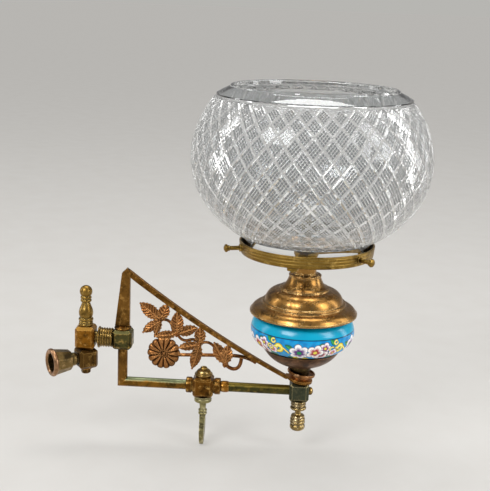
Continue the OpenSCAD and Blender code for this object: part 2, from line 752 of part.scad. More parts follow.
// Daisy with convex petals round a domed heart
module flower(centre) {
    rings = [0, 0.08, 0.15, 0.2, 0.4, 0.62, 0.84, 1];
    rise = [1.3, 1.26, 1.08, 0.66, 0.8, 1, 0.86, 0.35];
    per_petal = 6;
    steps = petal_count * per_petal;
    nr = len(rings);
    valley = [for (k = [0:steps - 1]) abs(cos(180 * k / per_petal))];
    front = [for (i = [1:nr - 1]) for (k = [0:steps - 1])
        let (a = 360 * k / steps,
            v = pow(valley[k], 0.6),
            rr = flower_r * rings[i] * (1 - 0.075 * (1 - v) * pow(rings[i], 2)),
            h = flower_t * max(0.16, rise[i] - (rings[i] > 0.2 ? 0.42 * (1 - v) * rings[i] : 0)))
        [rr * cos(a), -h, rr * sin(a)]];
    back = [for (k = [0:steps - 1])
        let (a = 360 * k / steps, v = pow(valley[k], 0.6), rr = flower_r * (1 - 0.075 * (1 - v)))
        [rr * cos(a), 0, rr * sin(a)]];
    m = (nr - 1) * steps;
    points = concat(front, back, [[0, -flower_t * rise[0], 0]]);
    top = m + steps;
    faces = concat(
        [for (k = [0:steps - 1]) [top, (k + 1) % steps, k]],
        [for (i = [0:nr - 3]) for (k = [0:steps - 1])
            let (a = i * steps + k, b = i * steps + (k + 1) % steps)
            each [[a, b + steps, a + steps], [a, b, b + steps]]],
        [for (k = [0:steps - 1])
            let (a = (nr - 2) * steps + k, b = (nr - 2) * steps + (k + 1) % steps,
                c = m + k, d = m + (k + 1) % steps)
            each [[a, d, c], [a, b, d]]],
        [[for (k = [0:steps - 1]) m + k]]);
    translate([centre[0], 0, centre[1]]) polyhedron(points, faces);
}

// The layout was drawn in the arm's plane on a brace of this run and rise, whose lower end
// lies at drawn_from, and it stretches with the brace
drawn_from = [35.8, -7.8];
drawn_run = 130.16;
drawn_rise = 83.1;

// A point of the layout, laid under the brace
function laid(p) = [
    upright_right + (p[0] - drawn_from[0]) * (brace_end[0] - upright_right) / drawn_run,
    brace_end[1] + (p[1] - drawn_from[1]) * (brace_top[1] - brace_end[1]) / drawn_rise];

// Centres of the flower and the four leaf clusters, and the leaves as [hub, tip, share of the
// broadest leaf's width]
flower_at = [63.8, 7.1];
hub_1 = [60.9, 35.2];
hub_2 = [74.6, 24];
hub_3 = [93.2, 16.4];
hub_4 = [114.6, 0];
leaves = [
    [hub_1, [43.6, 48.8], 1],
    [hub_1, [65.8, 50.8], 0.86],
    [hub_1, [46.2, 23.6], 0.71],
    [hub_1, [56.2, 21.8], 0.48],
    [hub_2, [74.2, 45], 0.95],
    [hub_2, [91, 30.2], 0.81],
    [hub_2, [55.6, 20.8], 0.67],
    [hub_3, [93, 32.6], 0.86],
    [hub_3, [75.4, 12.2], 0.67],
    [hub_3, [87.2, -5.4], 0.81],
    [hub_4, [104.6, 18.6], 0.95],
    [hub_4, [116, 18.4], 0.9]];

// Stems as chains of curves: start, then a bend and an end for each curve
vine = [hub_1, [69, 37], [70.4, 29.4], [71.4, 24.6], hub_2, [78.4, 16.8], [84.4, 19.4],
    [89.6, 21.4], hub_3, [100, 20.8], [105.4, 14], [107.6, 10.6], [108.8, 7.6]];
main_stem = [[72.6, 5.8], [100, 7.2], [117, 7.6], [131, 8.4], [141.5, 0.6]];
loop_stem = [hub_4, [119.4, -4.6], [123.4, -3], [127, -1.4], [127.3, 6.4]];

// Points along a chain of curves laid under the brace, with n steps to each
function chain(c, n) = [laid(c[0]), for (i = [0:2:len(c) - 3])
    let (b = bend(laid(c[i]), laid(c[i + 1]), laid(c[i + 2]), n)) for (j = [1:n]) b[j]];

// One casting: flower, leaves and stems, brazed to the brace where they touch it
module foliage_spray() {
    root_gap = 1.2;
    color(aged) on_arm() translate([0, spray_t * 0.4, 0]) resize([0, spray_t, 0]) difference() {
        union() {
            flower(laid(flower_at));
            for (i = [0:len(leaves) - 1])
                let (l = leaves[i], hub = laid(l[0]), tip = laid(l[1]),
                    toward = (tip - hub) / norm(tip - hub))
                leaf(hub + root_gap * toward, tip, l[2] * leaf_w, leaf_step * (1 + i % 5));
            for (h = [hub_1, hub_2, hub_3, hub_4]) bud(laid(h));
            stem(chain(vine, 5), stem_r * 0.85);
            stem(chain(main_stem, 8), stem_r);
            stem(chain(loop_stem, 5), stem_r * 1.05);
        }
        rotate([90, 0, 0]) linear_extrude(bar_depth + 8, center = true)
            translate([0, -seam]) over_brace_edge();
    }
}

// Pipes

// The half space on one side of the mitre where the two pipes meet
module mitre_cut(turn) {
    translate([corner_s, 0, pipe_z]) rotate([0, turn, 0])
        translate([0, -20, -40]) cube([40, 40, 80]);
}

module drop_pipe() {
    top_z = corner_low_z + socket_depth;
    color(aged) on_arm() difference() {
        translate([corner_s, 0, pipe_z - pipe_r - past])
            cylinder(r = pipe_r, h = top_z - pipe_z + pipe_r + past);
        translate([corner_s, 0, pipe_z - 2 * pipe_r])
            cylinder(r = way_r, h = top_z - pipe_z + 3 * pipe_r);
        mitre_cut(45);
    }
}

module rear_pipe() {
    end_s = cock_s - cock_w / 2 - cock_collar_len + socket_depth;
    color(verdigris) on_arm() difference() {
        translate([corner_s - pipe_r - past, 0, 0]) along_arm(pipe_z)
            cylinder(r = pipe_r, h = end_s - corner_s + pipe_r + past);
        translate([corner_s - 2 * pipe_r, 0, 0]) along_arm(pipe_z)
            cylinder(r = way_r, h = end_s - corner_s + 3 * pipe_r);
        mitre_cut(225);
    }
}

// Gas cock

stop_circle_r = stop_collar_r - stop_pin_r - 0.1;

module cock_body() {
    collar_s = cock_w / 2 + cock_collar_len;
    color(aged) on_cock() difference() {
        union() {
            translate([0, 0, pipe_z]) chamfered_block(cock_w, cock_w, block_chamfer);
            translate([-collar_s, 0, 0]) along_arm(pipe_z)
                cock_collar(cock_collar_r_in, cock_collar_len + 1);
            translate([collar_s, 0, 0]) mirror([1, 0, 0]) along_arm(pipe_z)
                cock_collar(cock_collar_r_out, cock_collar_len + 1);
        }
        rotate_extrude() polygon([
            [0, cock_low_z - past],
            [cock_plug_r_low + run_gap, cock_low_z - past],
            [cock_plug_r_low + run_gap, cock_low_z],
            [cock_plug_r_top + run_gap, cock_top_z],
            [cock_plug_r_top + run_gap, cock_top_z + past],
            [0, cock_top_z + past]]);
        translate([-collar_s - past, 0, 0]) along_arm(pipe_z)
            cylinder(r = cock_way_r, h = 2 * collar_s + 2 * past);
        translate([-collar_s - past, 0, 0]) along_arm(pipe_z)
            cylinder(r = pipe_r + seam, h = socket_depth + past);
        translate([collar_s + past, 0, 0]) mirror([1, 0, 0]) along_arm(pipe_z)
            cylinder(r = pipe_r + seam, h = socket_depth + past);
        translate([0, stop_circle_r, cock_low_z - past])
            cylinder(r = stop_pin_r + seam, h = 3 + past);
    }
}

// A collar with rounded edges, about Z from its outer face
module cock_collar(r, length) {
    turned(concat(
        arc([r - 1, 1], 1, 1, -90, 0, 6),
        [[r, length - 2.4], [r - 0.7, length - 1.8], [r - 0.7, length]]));
}

module cock_stop_pin() {
    color(bright) on_cock() translate([0, stop_circle_r, cock_low_z - 2.4])
        cylinder(r = stop_pin_r, h = 2.4 + 3 - seam);
}

// The plug, drawn shut: its way lies across the pipe. The collar's notch takes the stop pin
module cock_plug() {
    collar_top = cock_low_z - move_gap;
    collar_low = collar_top - stop_collar_h;
    stem_low = collar_low - key_stem_h + 2;
    notch_free = asin((stop_pin_r + move_gap) / stop_circle_r) + 1;
    color(bright) on_cock() difference() {
        turned(concat(
            [[key_stem_r - 0.4, stem_low]],
            arc([key_bead_r - 1.2, stem_low + 2], 1.2, 1.2, -80, 80, 8),
            [[key_stem_r - 0.7, stem_low + 3.3]],
            arc([key_bead_r - 1.2, stem_low + 4.6], 1.2, 1.2, -80, 80, 8),
            [[key_stem_r - 0.6, stem_low + 6], [key_stem_r, collar_low - 0.8]],
            [[key_stem_r + 0.6, collar_low]],
            arc([stop_collar_r - 0.9, collar_low + 0.9], 0.9, 0.9, -90, 0, 6),
            [[stop_collar_r, collar_top - 2.2], [stop_collar_r - 0.5, collar_top - 1.8],
                [stop_collar_r - 0.5, collar_top - 1.2], [stop_collar_r, collar_top - 0.8],
                [stop_collar_r, collar_top]],
            [[cock_plug_r_low, collar_top], [cock_plug_r_low, cock_low_z],
                [cock_plug_r_top, cock_top_z], [cock_tail_r, cock_top_z],
                [cock_tail_r, cock_top_z + move_gap + cock_washer_t + tail_cap_h - 0.4]]));
        translate([0, 0, pipe_z]) rotate([90, 0, 0])
            cylinder(r = cock_way_r, h = 3 * cock_plug_r_low, center = true);
        translate([0, 0, collar_top - 2.4 - move_gap])
            rotate([0, 0, 90 - cock_turn - notch_free])
                rotate_extrude(angle = cock_turn + 2 * notch_free)
                    translate([stop_circle_r - stop_pin_r - move_gap, 0]) square([4, 4]);
        translate([0, 0, cock_top_z - 2])
            cylinder(r = cock_screw_r + seam, h = tail_cap_h + 8);
    }
}

cock_tail_r = 2.6;
cock_screw_r = 1.4;
cock_washer_t = 0.8;

// The flat thumb key: its plate stands across the pipe when the cock is shut
module cock_key() {
    top_z = cock_low_z - move_gap - stop_collar_h - key_stem_h + 2;
    steps = 28;
    round_h = key_h * 0.78;
    color(bright) on_cock() translate([0, 0, top_z]) intersection() {
        rotate([90, 0, 90]) linear_extrude(key_t * 2, center = true) polygon(concat(
            [[key_stem_r - 0.2, 0]],
            bend([key_stem_r - 0.2, 0], [key_stem_r, -key_h * 0.14],
                [key_w * 0.36, -key_h * 0.27], 6),
            arc([0, -key_h + round_h / 2], key_w / 2, round_h / 2, 40, -220, steps),
            bend([-key_w * 0.36, -key_h * 0.27], [-key_stem_r, -key_h * 0.14],
                [0.2 - key_stem_r, 0], 6)));
        rotate([90, 0, 0]) linear_extrude(key_w + 2, center = true) polygon([
            [-key_t / 2, 0], [-key_t_end / 2, -key_h], [key_t_end / 2, -key_h], [key_t / 2, 0]]);
    }
}

module cock_washer() {
    color(bright) on_cock() translate([0, 0, cock_top_z + move_gap]) difference() {
        cylinder(r = tail_cap_r - 0.8, h = cock_washer_t);
        translate([0, 0, -past]) cylinder(r = cock_tail_r + seam, h = cock_washer_t + 2 * past);
    }
}

module cock_tail_cap() {
    base_z = cock_top_z + move_gap + cock_washer_t;
    color(bright) on_cock() translate([0, 0, base_z]) difference() {
        turned(concat(
            arc([tail_cap_r - 0.7, 0.7], 0.7, 0.7, -90, 60, 6),
            bend([tail_cap_r - 1.2, 1.4], [tail_cap_r - 1.5, tail_cap_h - 0.6],
                [tail_screw_r + 0.8, tail_cap_h], 8)));
        translate([0, 0, -past]) cylinder(r = cock_tail_r + seam, h = tail_cap_h + 2 * past);
    }
}

module cock_tail_screw() {
    seat_z = cock_top_z + move_gap + cock_washer_t + tail_cap_h;
    color(bright) on_cock() translate([0, 0, seat_z]) difference() {
        turned(concat(
            [[cock_screw_r, -tail_cap_h - 2], [cock_screw_r, 0], [tail_screw_r, 0]],
            [[tail_screw_r, tail_screw_h * 0.4]],
            bend([tail_screw_r, tail_screw_h * 0.4], [tail_screw_r * 0.9, tail_screw_h],
                [tail_screw_r * 0.2, tail_screw_h], 6)));
        translate([-tail_screw_r - past, -0.4, tail_screw_h - 0.8])
            cube([2 * (tail_screw_r + past), 0.8, 2]);
    }
}

ferrule_s = cock_s + cock_w / 2 + cock_collar_len;

module pipe_ferrule() {
    color(bright) on_arm() translate([ferrule_s, 0, 0]) along_arm(pipe_z) difference() {
        turned(concat(
            [[pipe_ferrule_r - 0.4, 0], [pipe_ferrule_r - 0.4, 0.5]],
            arc([pipe_ferrule_r - 0.35, pipe_ferrule_len / 2], 0.35, pipe_ferrule_len / 2 - 0.7,
                -90, 90, 10),
            [[pipe_ferrule_r - 0.4, pipe_ferrule_len - 0.5],
                [pipe_ferrule_r - 0.4, pipe_ferrule_len]]));
        translate([0, 0, -past]) cylinder(r = pipe_r + seam, h = pipe_ferrule_len + 2 * past);
    }
}

module front_pipe() {
    start_s = ferrule_s - socket_depth;
    end_s = arm_reach - block_w / 2 + socket_depth;
    color(verdigris) on_arm() translate([start_s, 0, 0]) along_arm(pipe_z) difference() {
        cylinder(r = pipe_r, h = end_s - start_s);
        translate([0, 0, -past]) cylinder(r = way_r, h = end_s - start_s + 2 * past);
    }
}

// End block

end_screw_stud_r = 2;
tail_stud_r = 2.4;

module end_block() {
    color(verdigris) on_column() difference() {
        translate([0, 0, pipe_z]) chamfered_block(block_w, block_w, block_chamfer);
        translate([-block_w / 2 - past, 0, 0]) along_arm(pipe_z)
            cylinder(r = pipe_r + seam, h = socket_depth + past);
        along_arm(pipe_z) rotate([180, 0, 0]) cylinder(r = way_r, h = block_w / 2);
        translate([0, 0, pipe_z - way_r]) cylinder(r = column_bore_r, h = block_w);
        translate([0, 0, end_top_z - socket_depth])
            cylinder(r = column_r + seam, h = socket_depth + past);
        along_arm(pipe_z) cylinder(r = end_screw_stud_r + seam, h = block_w / 2 + past);
        translate([0, 0, end_low_z - past]) cylinder(r = tail_stud_r + seam, h = 3 + past);
    }
}

module end_screw() {
    color(bright) on_column() translate([block_w / 2, 0, 0]) along_arm(pipe_z) turned(concat(
        [[end_screw_stud_r, -4], [end_screw_stud_r, 0], [end_screw_r, 0]],
        [[end_screw_r, end_screw_h * 0.3]],
        arc([0, end_screw_h * 0.3], end_screw_r, end_screw_h * 0.7, 4, 88, 8)));
}

// Collar, thin neck and ribbed drop, drawn upside down from the block's underside
module tail_finial() {
    neck_z = tail_collar_h;
    drop_z = neck_z + tail_neck_h;
    rib = drop_h * 0.16;
    color(bright) on_column() translate([0, 0, end_low_z]) mirror([0, 0, 1]) turned(concat(
        [[tail_stud_r, -2.8], [tail_stud_r, 0], [tail_collar_r - 0.4, 0]],
        arc([tail_collar_r - 1, 1], 1, 1, -80, 80, 6),
        [[tail_collar_r - 1.2, 2.6]],
        arc([tail_collar_r - 1.3, 3.6], 1, 0.9, -80, 80, 6),
        [[tail_collar_r - 1.6, 5]],
        arc([tail_collar_r - 1.6, tail_collar_h - 1.6], 1.6, 1.4, -80, 60, 8),
        bend([tail_neck_r + 1.2, neck_z], [tail_neck_r, neck_z + 0.6],
            [tail_neck_r, neck_z + tail_neck_h / 2], 5),
        bend([tail_neck_r, neck_z + tail_neck_h / 2], [tail_neck_r, drop_z - 0.6],
            [drop_r - 2.2, drop_z], 5),
        arc([drop_r - 1.6, drop_z + rib * 0.6], 1, rib * 0.6, -70, 70, 6),
        arc([drop_r - 1.1, drop_z + rib * 1.7], 1, rib * 0.55, -80, 80, 6),
        arc([drop_r - 0.9, drop_z + rib * 2.8], 0.9, rib * 0.55, -80, 80, 6),
        [[drop_r - 0.9, drop_z + rib * 3.4]],
        arc([drop_r - 2.4, drop_z + rib * 4.4], 2.4, rib, -60, 0, 5),
        bend([drop_r, drop_z + rib * 4.6], [drop_r - 0.2, drop_z + drop_h],
            [0.4, drop_z + drop_h], 8)));
}

// Column

// Wedge between the block's top and the eye
module brace_seat() {
    color(dark) difference() {
        on_column() translate([0, 0, end_top_z]) cylinder(r = column_r + 1, h = 6);
        on_column() translate([0, 0, end_top_z - past])
            cylinder(r = column_r + seam, h = 8 + past);
        on_eye() translate([0, 0, -eye_top]) cylinder(r = 3 * column_r, h = 20);
    }
}

module brace_spacer() {
    color(dark) difference() {
        on_eye() translate([0, 0, eye_top]) cylinder(r = spacer_r, h = spacer_h);
        column_hole();
    }
}

// Cupped washer that the bowl's stem stands in
module cup_washer() {
    color(copper) difference() {
        on_eye() translate([0, 0, spacer_top]) turned(concat(
            [[cup_r - 1.4, 0]],
            bend([cup_r - 1.4, 0], [cup_r, 0], [cup_r, 1.2], 5),
            arc([cup_r - 0.6, cup_h - 0.6], 0.6, 0.6, 0, 180, 6),
            [[cup_r - 1.2, cup_floor_t]]));
        column_hole();
    }
}

module gas_column() {
    start_z = end_top_z - socket_depth;
    top_z = ring_low_z + 6;
    color(bright) on_column() difference() {
        translate([0, 0, start_z]) cylinder(r = column_r, h = top_z - start_z);
        translate([0, 0, start_z - past])
            cylinder(r = column_bore_r, h = top_z - start_z + 2 * past);
    }
}

// Bowl's stem: dark turned neck, cut to the slope of the cupped washer's floor
module bowl_stem() {
    color(dark) difference() {
        on_column() difference() {
            translate([0, 0, stem_z0 - 3]) turned([
                [bowl_stem_r, 0], [bowl_stem_r, 4.6],
                [bowl_stem_r + 0.9, 5.4], [dish_stem_r, dish_low_z - stem_z0 + 3]]);
            translate([0, 0, stem_z0 - 3 - past]) cylinder(r = column_r + seam, h = 30);
        }
        on_eye() translate([0, 0, cup_floor_top - 20]) cylinder(r = cup_r, h = 20);
    }
}

// Outer curve of the dish from its stem up to the bowl's foot
function dish_curve(in) =
    bend([dish_stem_r - in * 0.2, dish_low_z + in], [bowl_foot_r * 0.62, dish_low_z + 5 + in],
        [bowl_foot_r + 0.4 - in, bowl_foot_z - 0.4], 12);

module drip_dish() {
    flip = dish_curve(dish_wall);
    n = len(flip);
    color(copper) on_column() difference() {
        turned(concat(dish_curve(0), [[bowl_foot_r + 0.4, bowl_foot_z]]));
        turned(concat([for (i = [0:n - 1]) flip[i]],
            [[bowl_foot_r + 0.4 - dish_wall, bowl_foot_z + past]]));
        translate([0, 0, dish_low_z - past]) cylinder(r = column_r + seam, h = dish_wall + 3);
    }
}

bowl_oval_r = bowl_mouth_r - 7;

// The ceramic bowl: an oval belly from the foot ring to the upright mouth
module enamel_bowl() {
    foot_a = -asin((bowl_mid_z - bowl_foot_z) / (bowl_mid_h + 0.6));
    foot_in = bowl_foot_r - bowl_oval_r - (bowl_r - bowl_oval_r) * cos(foot_a);
    mouth_z = bowl_seat_z;
    outer = arc([bowl_oval_r, bowl_mid_z], bowl_r - bowl_oval_r, bowl_mid_h + 0.6, foot_a, 66, 22);
    inner = arc([bowl_oval_r, bowl_mid_z], bowl_r - bowl_oval_r - bowl_wall,
        bowl_mid_h + 0.6 - bowl_wall, -90, 66, 20);
    color(enamel) on_column() difference() {
        turned(concat([[bowl_foot_r + min(foot_in, 0) - 0.4, bowl_foot_z]], outer,
            [[bowl_mouth_r, bowl_mid_z + bowl_mid_h], [bowl_mouth_r, mouth_z]]));
        turned(concat(inner,
            [[bowl_mouth_r - bowl_wall, bowl_mid_z + bowl_mid_h],
                [bowl_mouth_r - bowl_wall, mouth_z + past]]));
        translate([0, 0, bowl_foot_z - past]) cylinder(r = column_r + 0.6, h = 10);
    }
}

// Height at which the cap's underside rests on the bowl's mouth
bowl_seat_z = cap_bead_z - cap_wall;

// The cap's curves from rim to large bead, from bead to bead, and up the bell, set in by [x, z]
function cap_skirt(in) = bend([cap_r - 0.6, cap_rim_z + 1.8] - in,
    [cap_r - 2.4, cap_rim_z + 5.6] - in, [cap_bead_r + 3, cap_bead_z - 2.4] - in, 8);
function cap_dome(in) = bend([cap_bead_r - 2, cap_bead_z + 1] - in,
    [cap_small_r + 0.69 * (cap_bead_r - cap_small_r), cap_small_z - 1.6] - in,
    [cap_small_r + 1.4, cap_small_z - 1.2] - in, 10);
function cap_bell(in) = bend([cap_small_r - 1.6, cap_small_z + 0.9] - in,
    [cap_top_r + 2, cap_small_z + 2.6] - in, [cap_top_r, cap_top_z - 1.8] - in, 10);

// The spun cap, with its rolled rim, two beads and bell-shaped top
module bowl_cap() {
    flat = [0, 0];
    low_in = [cap_wall, cap_wall * 0.5];
    high_in = [cap_wall * 0.6, cap_wall];
    bell_in = [cap_wall * 1.1, cap_wall * 1.1];
    color(copper) on_column() difference() {
        turned(concat(
            [[cap_r, cap_rim_z], [cap_r, cap_rim_z + 1.4]],
            cap_skirt(flat),
            [[cap_bead_r + 1, cap_bead_z - 2]],
            arc([cap_bead_r - 1.1, cap_bead_z], 1.1, 1.1, -60, 100, 8),
            cap_dome(flat),
            arc([cap_small_r - 0.9, cap_small_z], 0.9, 0.9, -60, 110, 8),
            cap_bell(flat),
            [[cap_top_r + 0.4, cap_top_z - 1.2], [cap_top_r + 0.4, cap_top_z - 0.4],
                [cap_top_r - 0.2, cap_top_z], [neck_tube_r + 1.2, cap_top_z]]));
        turned(concat(
            [[cap_r - cap_wall, cap_rim_z - past], [cap_r - cap_wall, cap_rim_z + 1]],
            cap_skirt(low_in),
            [[cap_bead_r, cap_bead_z - 2 - cap_wall], [cap_bead_r - 2, cap_bead_z - cap_wall]],
            cap_dome(high_in),
            [[cap_small_r - 1, cap_small_z - 0.8 - cap_wall]],
            cap_bell(bell_in)));
        translate([0, 0, cap_rim_z]) cylinder(r = column_r + seam, h = cap_top_z);
    }
}

module neck_tube() {
    h = spider_z - cap_top_z;
    color(copper) on_column() translate([0, 0, cap_top_z]) difference() {
        turned(concat(
            [[neck_tube_r + 1.2, 0], [neck_tube_r + 1.2, 0.6], [neck_tube_r, 1.4]],
            [[neck_tube_r, h - 2]],
            arc([neck_tube_r - 0.4, h - 1], 0.9, 0.9, -60, 60, 6),
            [[neck_tube_r, h]]));
        translate([0, 0, -past]) cylinder(r = column_r + seam, h = h + 2 * past);
    }
}

// Shade holder

function screw_dir(i) = -screw_angle + 120 * i;

// The grooved ring: floor, flared wall and three bosses for the thumbscrews
module holder_ring() {
    z0 = ring_low_z;
    foot_r = ring_in_r + ring_wall;
    grooves = [0.36, 0.62, 0.86];
    boss_r = screw_r + 1.2;
    function wall_r(f) = foot_r + ring_flare * f;
    color(satin) on_column() difference() {
        union() {
            rotate_extrude() polygon(concat(
                [[foot_r - ring_floor_w - ring_wall, z0], [foot_r - 1.4, z0]],
                bend([foot_r - 1.4, z0], [foot_r, z0 + 0.3], [foot_r, z0 + 1.6], 5),
                [for (g = grooves) each [
                    [wall_r(g), z0 + ring_h * g - 0.45], [wall_r(g) - 0.4, z0 + ring_h * g],
                    [wall_r(g) + 0.1, z0 + ring_h * g + 0.35]]],
                [[ring_out_r, ring_top_z - 0.5], [ring_out_r - 0.4, ring_top_z],
                    [ring_out_r - ring_wall + 0.3, ring_top_z],
                    [ring_in_r + ring_flare * 0.6, ring_top_z - 1],
                    [ring_in_r, ring_floor_z],
                    [foot_r - ring_floor_w - ring_wall, ring_floor_z]]));
            for (i = [0:2]) rotate([0, 0, screw_dir(i)]) translate([ring_in_r + 0.8, 0, 0])
                along_arm(screw_z) cylinder(r = boss_r, h = ring_wall + ring_flare + 0.6);
        }
        for (i = [0:2]) rotate([0, 0, screw_dir(i)]) along_arm(screw_z)
            cylinder(r = screw_r + run_gap, h = ring_out_r + 5);
    }
}

// Hub and three arms under the ring, each arm's eye riveted to the ring's floor
module holder_spider() {
    eye_s = ring_in_r + ring_wall - ring_wall / 2 - ring_floor_w / 2 - 1;
    color(satin) on_column() translate([0, 0, spider_z]) {
        linear_extrude(spider_t) difference() {
            union() {
                circle(r = hub_r);
                for (i = [0:2]) rotate([0, 0, screw_dir(i) + 60]) {
                    translate([0, -spider_w / 2]) square([eye_s, spider_w]);
                    translate([eye_s, 0]) circle(r = spider_w / 2 + 0.8);
                }
            }
            circle(r = column_r + seam);
        }
        for (i = [0:2]) rotate([0, 0, screw_dir(i) + 60])
            translate([eye_s, 0, -1.6]) cylinder(r1 = 1.6, r2 = 2.2, h = 1.8);
    }
}

// A thumbscrew: shank, neck and flat round head
module thumbscrew(i) {
    tip_s = fitter_r + move_gap;
    head_s = ring_out_r + screw_out;
    color(satin) on_column() rotate([0, 0, screw_dir(i)]) translate([tip_s, 0, 0])
        along_arm(screw_z) turned(concat(
            [[screw_r - 0.4, 0], [screw_r, 0.6], [screw_r, head_s - tip_s - 1.6],
                [screw_r + 0.7, head_s - tip_s - 0.8]],
            arc([screw_head_r - 1.3, head_s - tip_s + 1.3], 1.3, 1.3, -90, 90, 10),
            [[screw_head_r * 0.5, head_s - tip_s + 3], [screw_head_r * 0.3, head_s - tip_s + 3.2]]));
}

module thumbscrew_1() {
    thumbscrew(0);
}

module thumbscrew_2() {
    thumbscrew(1);
}

module thumbscrew_3() {
    thumbscrew(2);
}

// Burner

module burner_pillar() {
    color(bright) on_column() translate([0, 0, ring_low_z]) difference() {
        turned(concat(
            [[pillar_r, 0], [pillar_r, 2.4], [pillar_r - 1.2, 3.2], [pillar_r - 1.2, 7]],
            bend([pillar_r - 1.2, 7], [tip_r + 0.8, 9], [tip_r + 0.8, pillar_h - 6], 8),
            [[tip_r + 1.6, pillar_h - 5], [tip_r + 1.6, pillar_h - 1], [tip_r + 1, pillar_h]]));
        translate([0, 0, -past]) cylinder(r = column_r + seam, h = 6 + past + seam);
        cylinder(r = column_bore_r - 0.6, h = pillar_h - 6);
        translate([0, 0, pillar_h - 6]) cylinder(r = tip_r - 0.6 + seam, h = 6 + past);
    }
}

// The tip, with its slit across the domed end
module burner_tip() {
    color("#ddd6c4") on_column() translate([0, 0, pillar_top_z]) difference() {
        turned(concat(
            [[tip_r - 0.6, -5.8], [tip_r - 0.6, 0], [tip_r, 0], [tip_r, tip_h * 0.3]],
            bend([tip_r, tip_h * 0.3], [tip_r - 0.8, tip_h * 0.5],
                [tip_r - 1, tip_h - tip_r + 1], 5),
            arc([0, tip_h - tip_r + 1], tip_r - 1, tip_r - 1, 4, 88, 8)));
        translate([0, 0, -6 - past]) cylinder(r = 1.6, h = tip_h + 3);
        translate([-tip_r, -0.2, tip_h - 3]) cube([2 * tip_r, 0.4, 4]);
    }
}

// Glass shade

// The globe's profile, set in by a wall's thickness for its inner face
module globe_profile(in) {
    neck = fitter_r - in;
    rr = globe_r - in;
    low = globe_drop - in * 0.9;
    high = globe_rise - in * 0.9;
    neck_a = -acos(neck / rr);
    shoulder_a = asin((shoulder_h - in * 0.5) / high);
    foot_z = in > 0 ? shade_foot_z - past : shade_foot_z;
    mouth_z = in > 0 ? lip_z + past : lip_z - 1.8;
    polygon(concat(
        [[0, foot_z], [neck - (in > 0 ? 0 : 1), foot_z], [neck, foot_z + 1]],
        [[neck, globe_z + low * sin(neck_a)]],
        arc([0, globe_z], rr, low, neck_a, 0, 14),
        arc([0, globe_z], rr, high, 4, shoulder_a, 12),
        in > 0 ? [[lip_r - in, lip_z - 2.4], [lip_r - in, mouth_z]]
            : concat([[rr * cos(shoulder_a) - 1.6, globe_z + high * sin(shoulder_a) + 1],
                [rr * cos(shoulder_a) - 0.9, globe_z + high * sin(shoulder_a) + 2]],
                [[lip_r, lip_z - 1.8]],
                arc([lip_r - 1.8, lip_z - 1.8], 1.8, 1.8, 20, 90, 5)),
        [[0, in > 0 ? mouth_z : lip_z]]));
}

module glass_shade() {
    color("#dfe6ea", 0.5) on_column() rotate_extrude($fn = 96) difference() {
        globe_profile(0);
        globe_profile(glass_wall);
    }
}

wall_coupling();
swivel_base();
swivel_plug();
swivel_washer();
swivel_nut();
swivel_block();
swivel_finial();
ribbed_ferrule();
corner_block();
upright_foot();
upright_bar();
brace_bar();
foliage_spray();
drop_pipe();
rear_pipe();
cock_body();
cock_stop_pin();
cock_plug();
cock_key();
cock_washer();
cock_tail_cap();
cock_tail_screw();
pipe_ferrule();
front_pipe();
end_block();
end_screw();
tail_finial();
brace_seat();
brace_spacer();
cup_washer();
gas_column();
bowl_stem();
drip_dish();
enamel_bowl();
bowl_cap();
neck_tube();
holder_ring();
holder_spider();
thumbscrew_1();
thumbscrew_2();
thumbscrew_3();
burner_pillar();
burner_tip();
glass_shade();
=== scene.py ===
# %% [markdown]
# # A gas wall sconce, dressed in Blender
#
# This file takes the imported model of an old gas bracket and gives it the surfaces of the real
# thing: brass with a hundred years of tarnish, a painted ceramic bowl and a heavy cut-glass globe.
# It is a lesson in cells. Each step is told first in words, then done in a short piece of code
# that prints what it made.
#
# ## The frame
#
# The CAD model fixes every size and place, so it is loaded first and never moved. Its pieces come
# in as Blender objects with their place in their meshes, in metres. What is modelled here stands
# where a CAD piece stands and rides on the same moving body.

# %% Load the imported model
import math

import bmesh
import bpy
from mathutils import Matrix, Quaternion, Vector


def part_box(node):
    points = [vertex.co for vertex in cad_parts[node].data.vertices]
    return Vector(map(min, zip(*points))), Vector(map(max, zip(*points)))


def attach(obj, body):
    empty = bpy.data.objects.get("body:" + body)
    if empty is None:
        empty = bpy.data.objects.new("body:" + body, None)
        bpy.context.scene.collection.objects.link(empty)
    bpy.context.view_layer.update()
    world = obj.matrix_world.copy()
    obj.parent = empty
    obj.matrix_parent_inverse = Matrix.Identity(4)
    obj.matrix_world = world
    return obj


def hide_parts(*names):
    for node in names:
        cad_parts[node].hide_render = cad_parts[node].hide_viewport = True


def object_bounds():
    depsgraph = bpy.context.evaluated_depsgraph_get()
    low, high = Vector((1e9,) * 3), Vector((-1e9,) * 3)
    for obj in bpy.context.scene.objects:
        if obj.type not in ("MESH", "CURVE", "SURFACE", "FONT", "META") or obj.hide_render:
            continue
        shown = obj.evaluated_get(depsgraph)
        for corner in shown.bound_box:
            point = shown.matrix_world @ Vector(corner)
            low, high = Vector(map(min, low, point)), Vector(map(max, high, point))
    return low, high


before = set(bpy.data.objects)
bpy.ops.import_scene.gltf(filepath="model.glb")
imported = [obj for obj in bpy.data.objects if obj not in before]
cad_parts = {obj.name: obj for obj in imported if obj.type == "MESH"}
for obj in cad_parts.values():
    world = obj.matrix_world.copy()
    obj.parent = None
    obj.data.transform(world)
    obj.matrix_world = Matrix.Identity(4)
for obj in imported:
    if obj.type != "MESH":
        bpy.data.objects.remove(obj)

cad_low, cad_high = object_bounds()
print("CAD box in mm:", [round(1000 * v) for v in cad_low], [round(1000 * v) for v in cad_high])

# %% [markdown]
# ## Measures
#
# A maker reads this drawing in millimetres, while Blender works in metres, so one constant turns
# one into the other. Three axes rule the lamp: the swivel at the wall, the cock's plug, and the
# upright gas column that carries bowl and globe. Each is found as the middle of a turned CAD
# piece, so it stays right if the drawing changes.

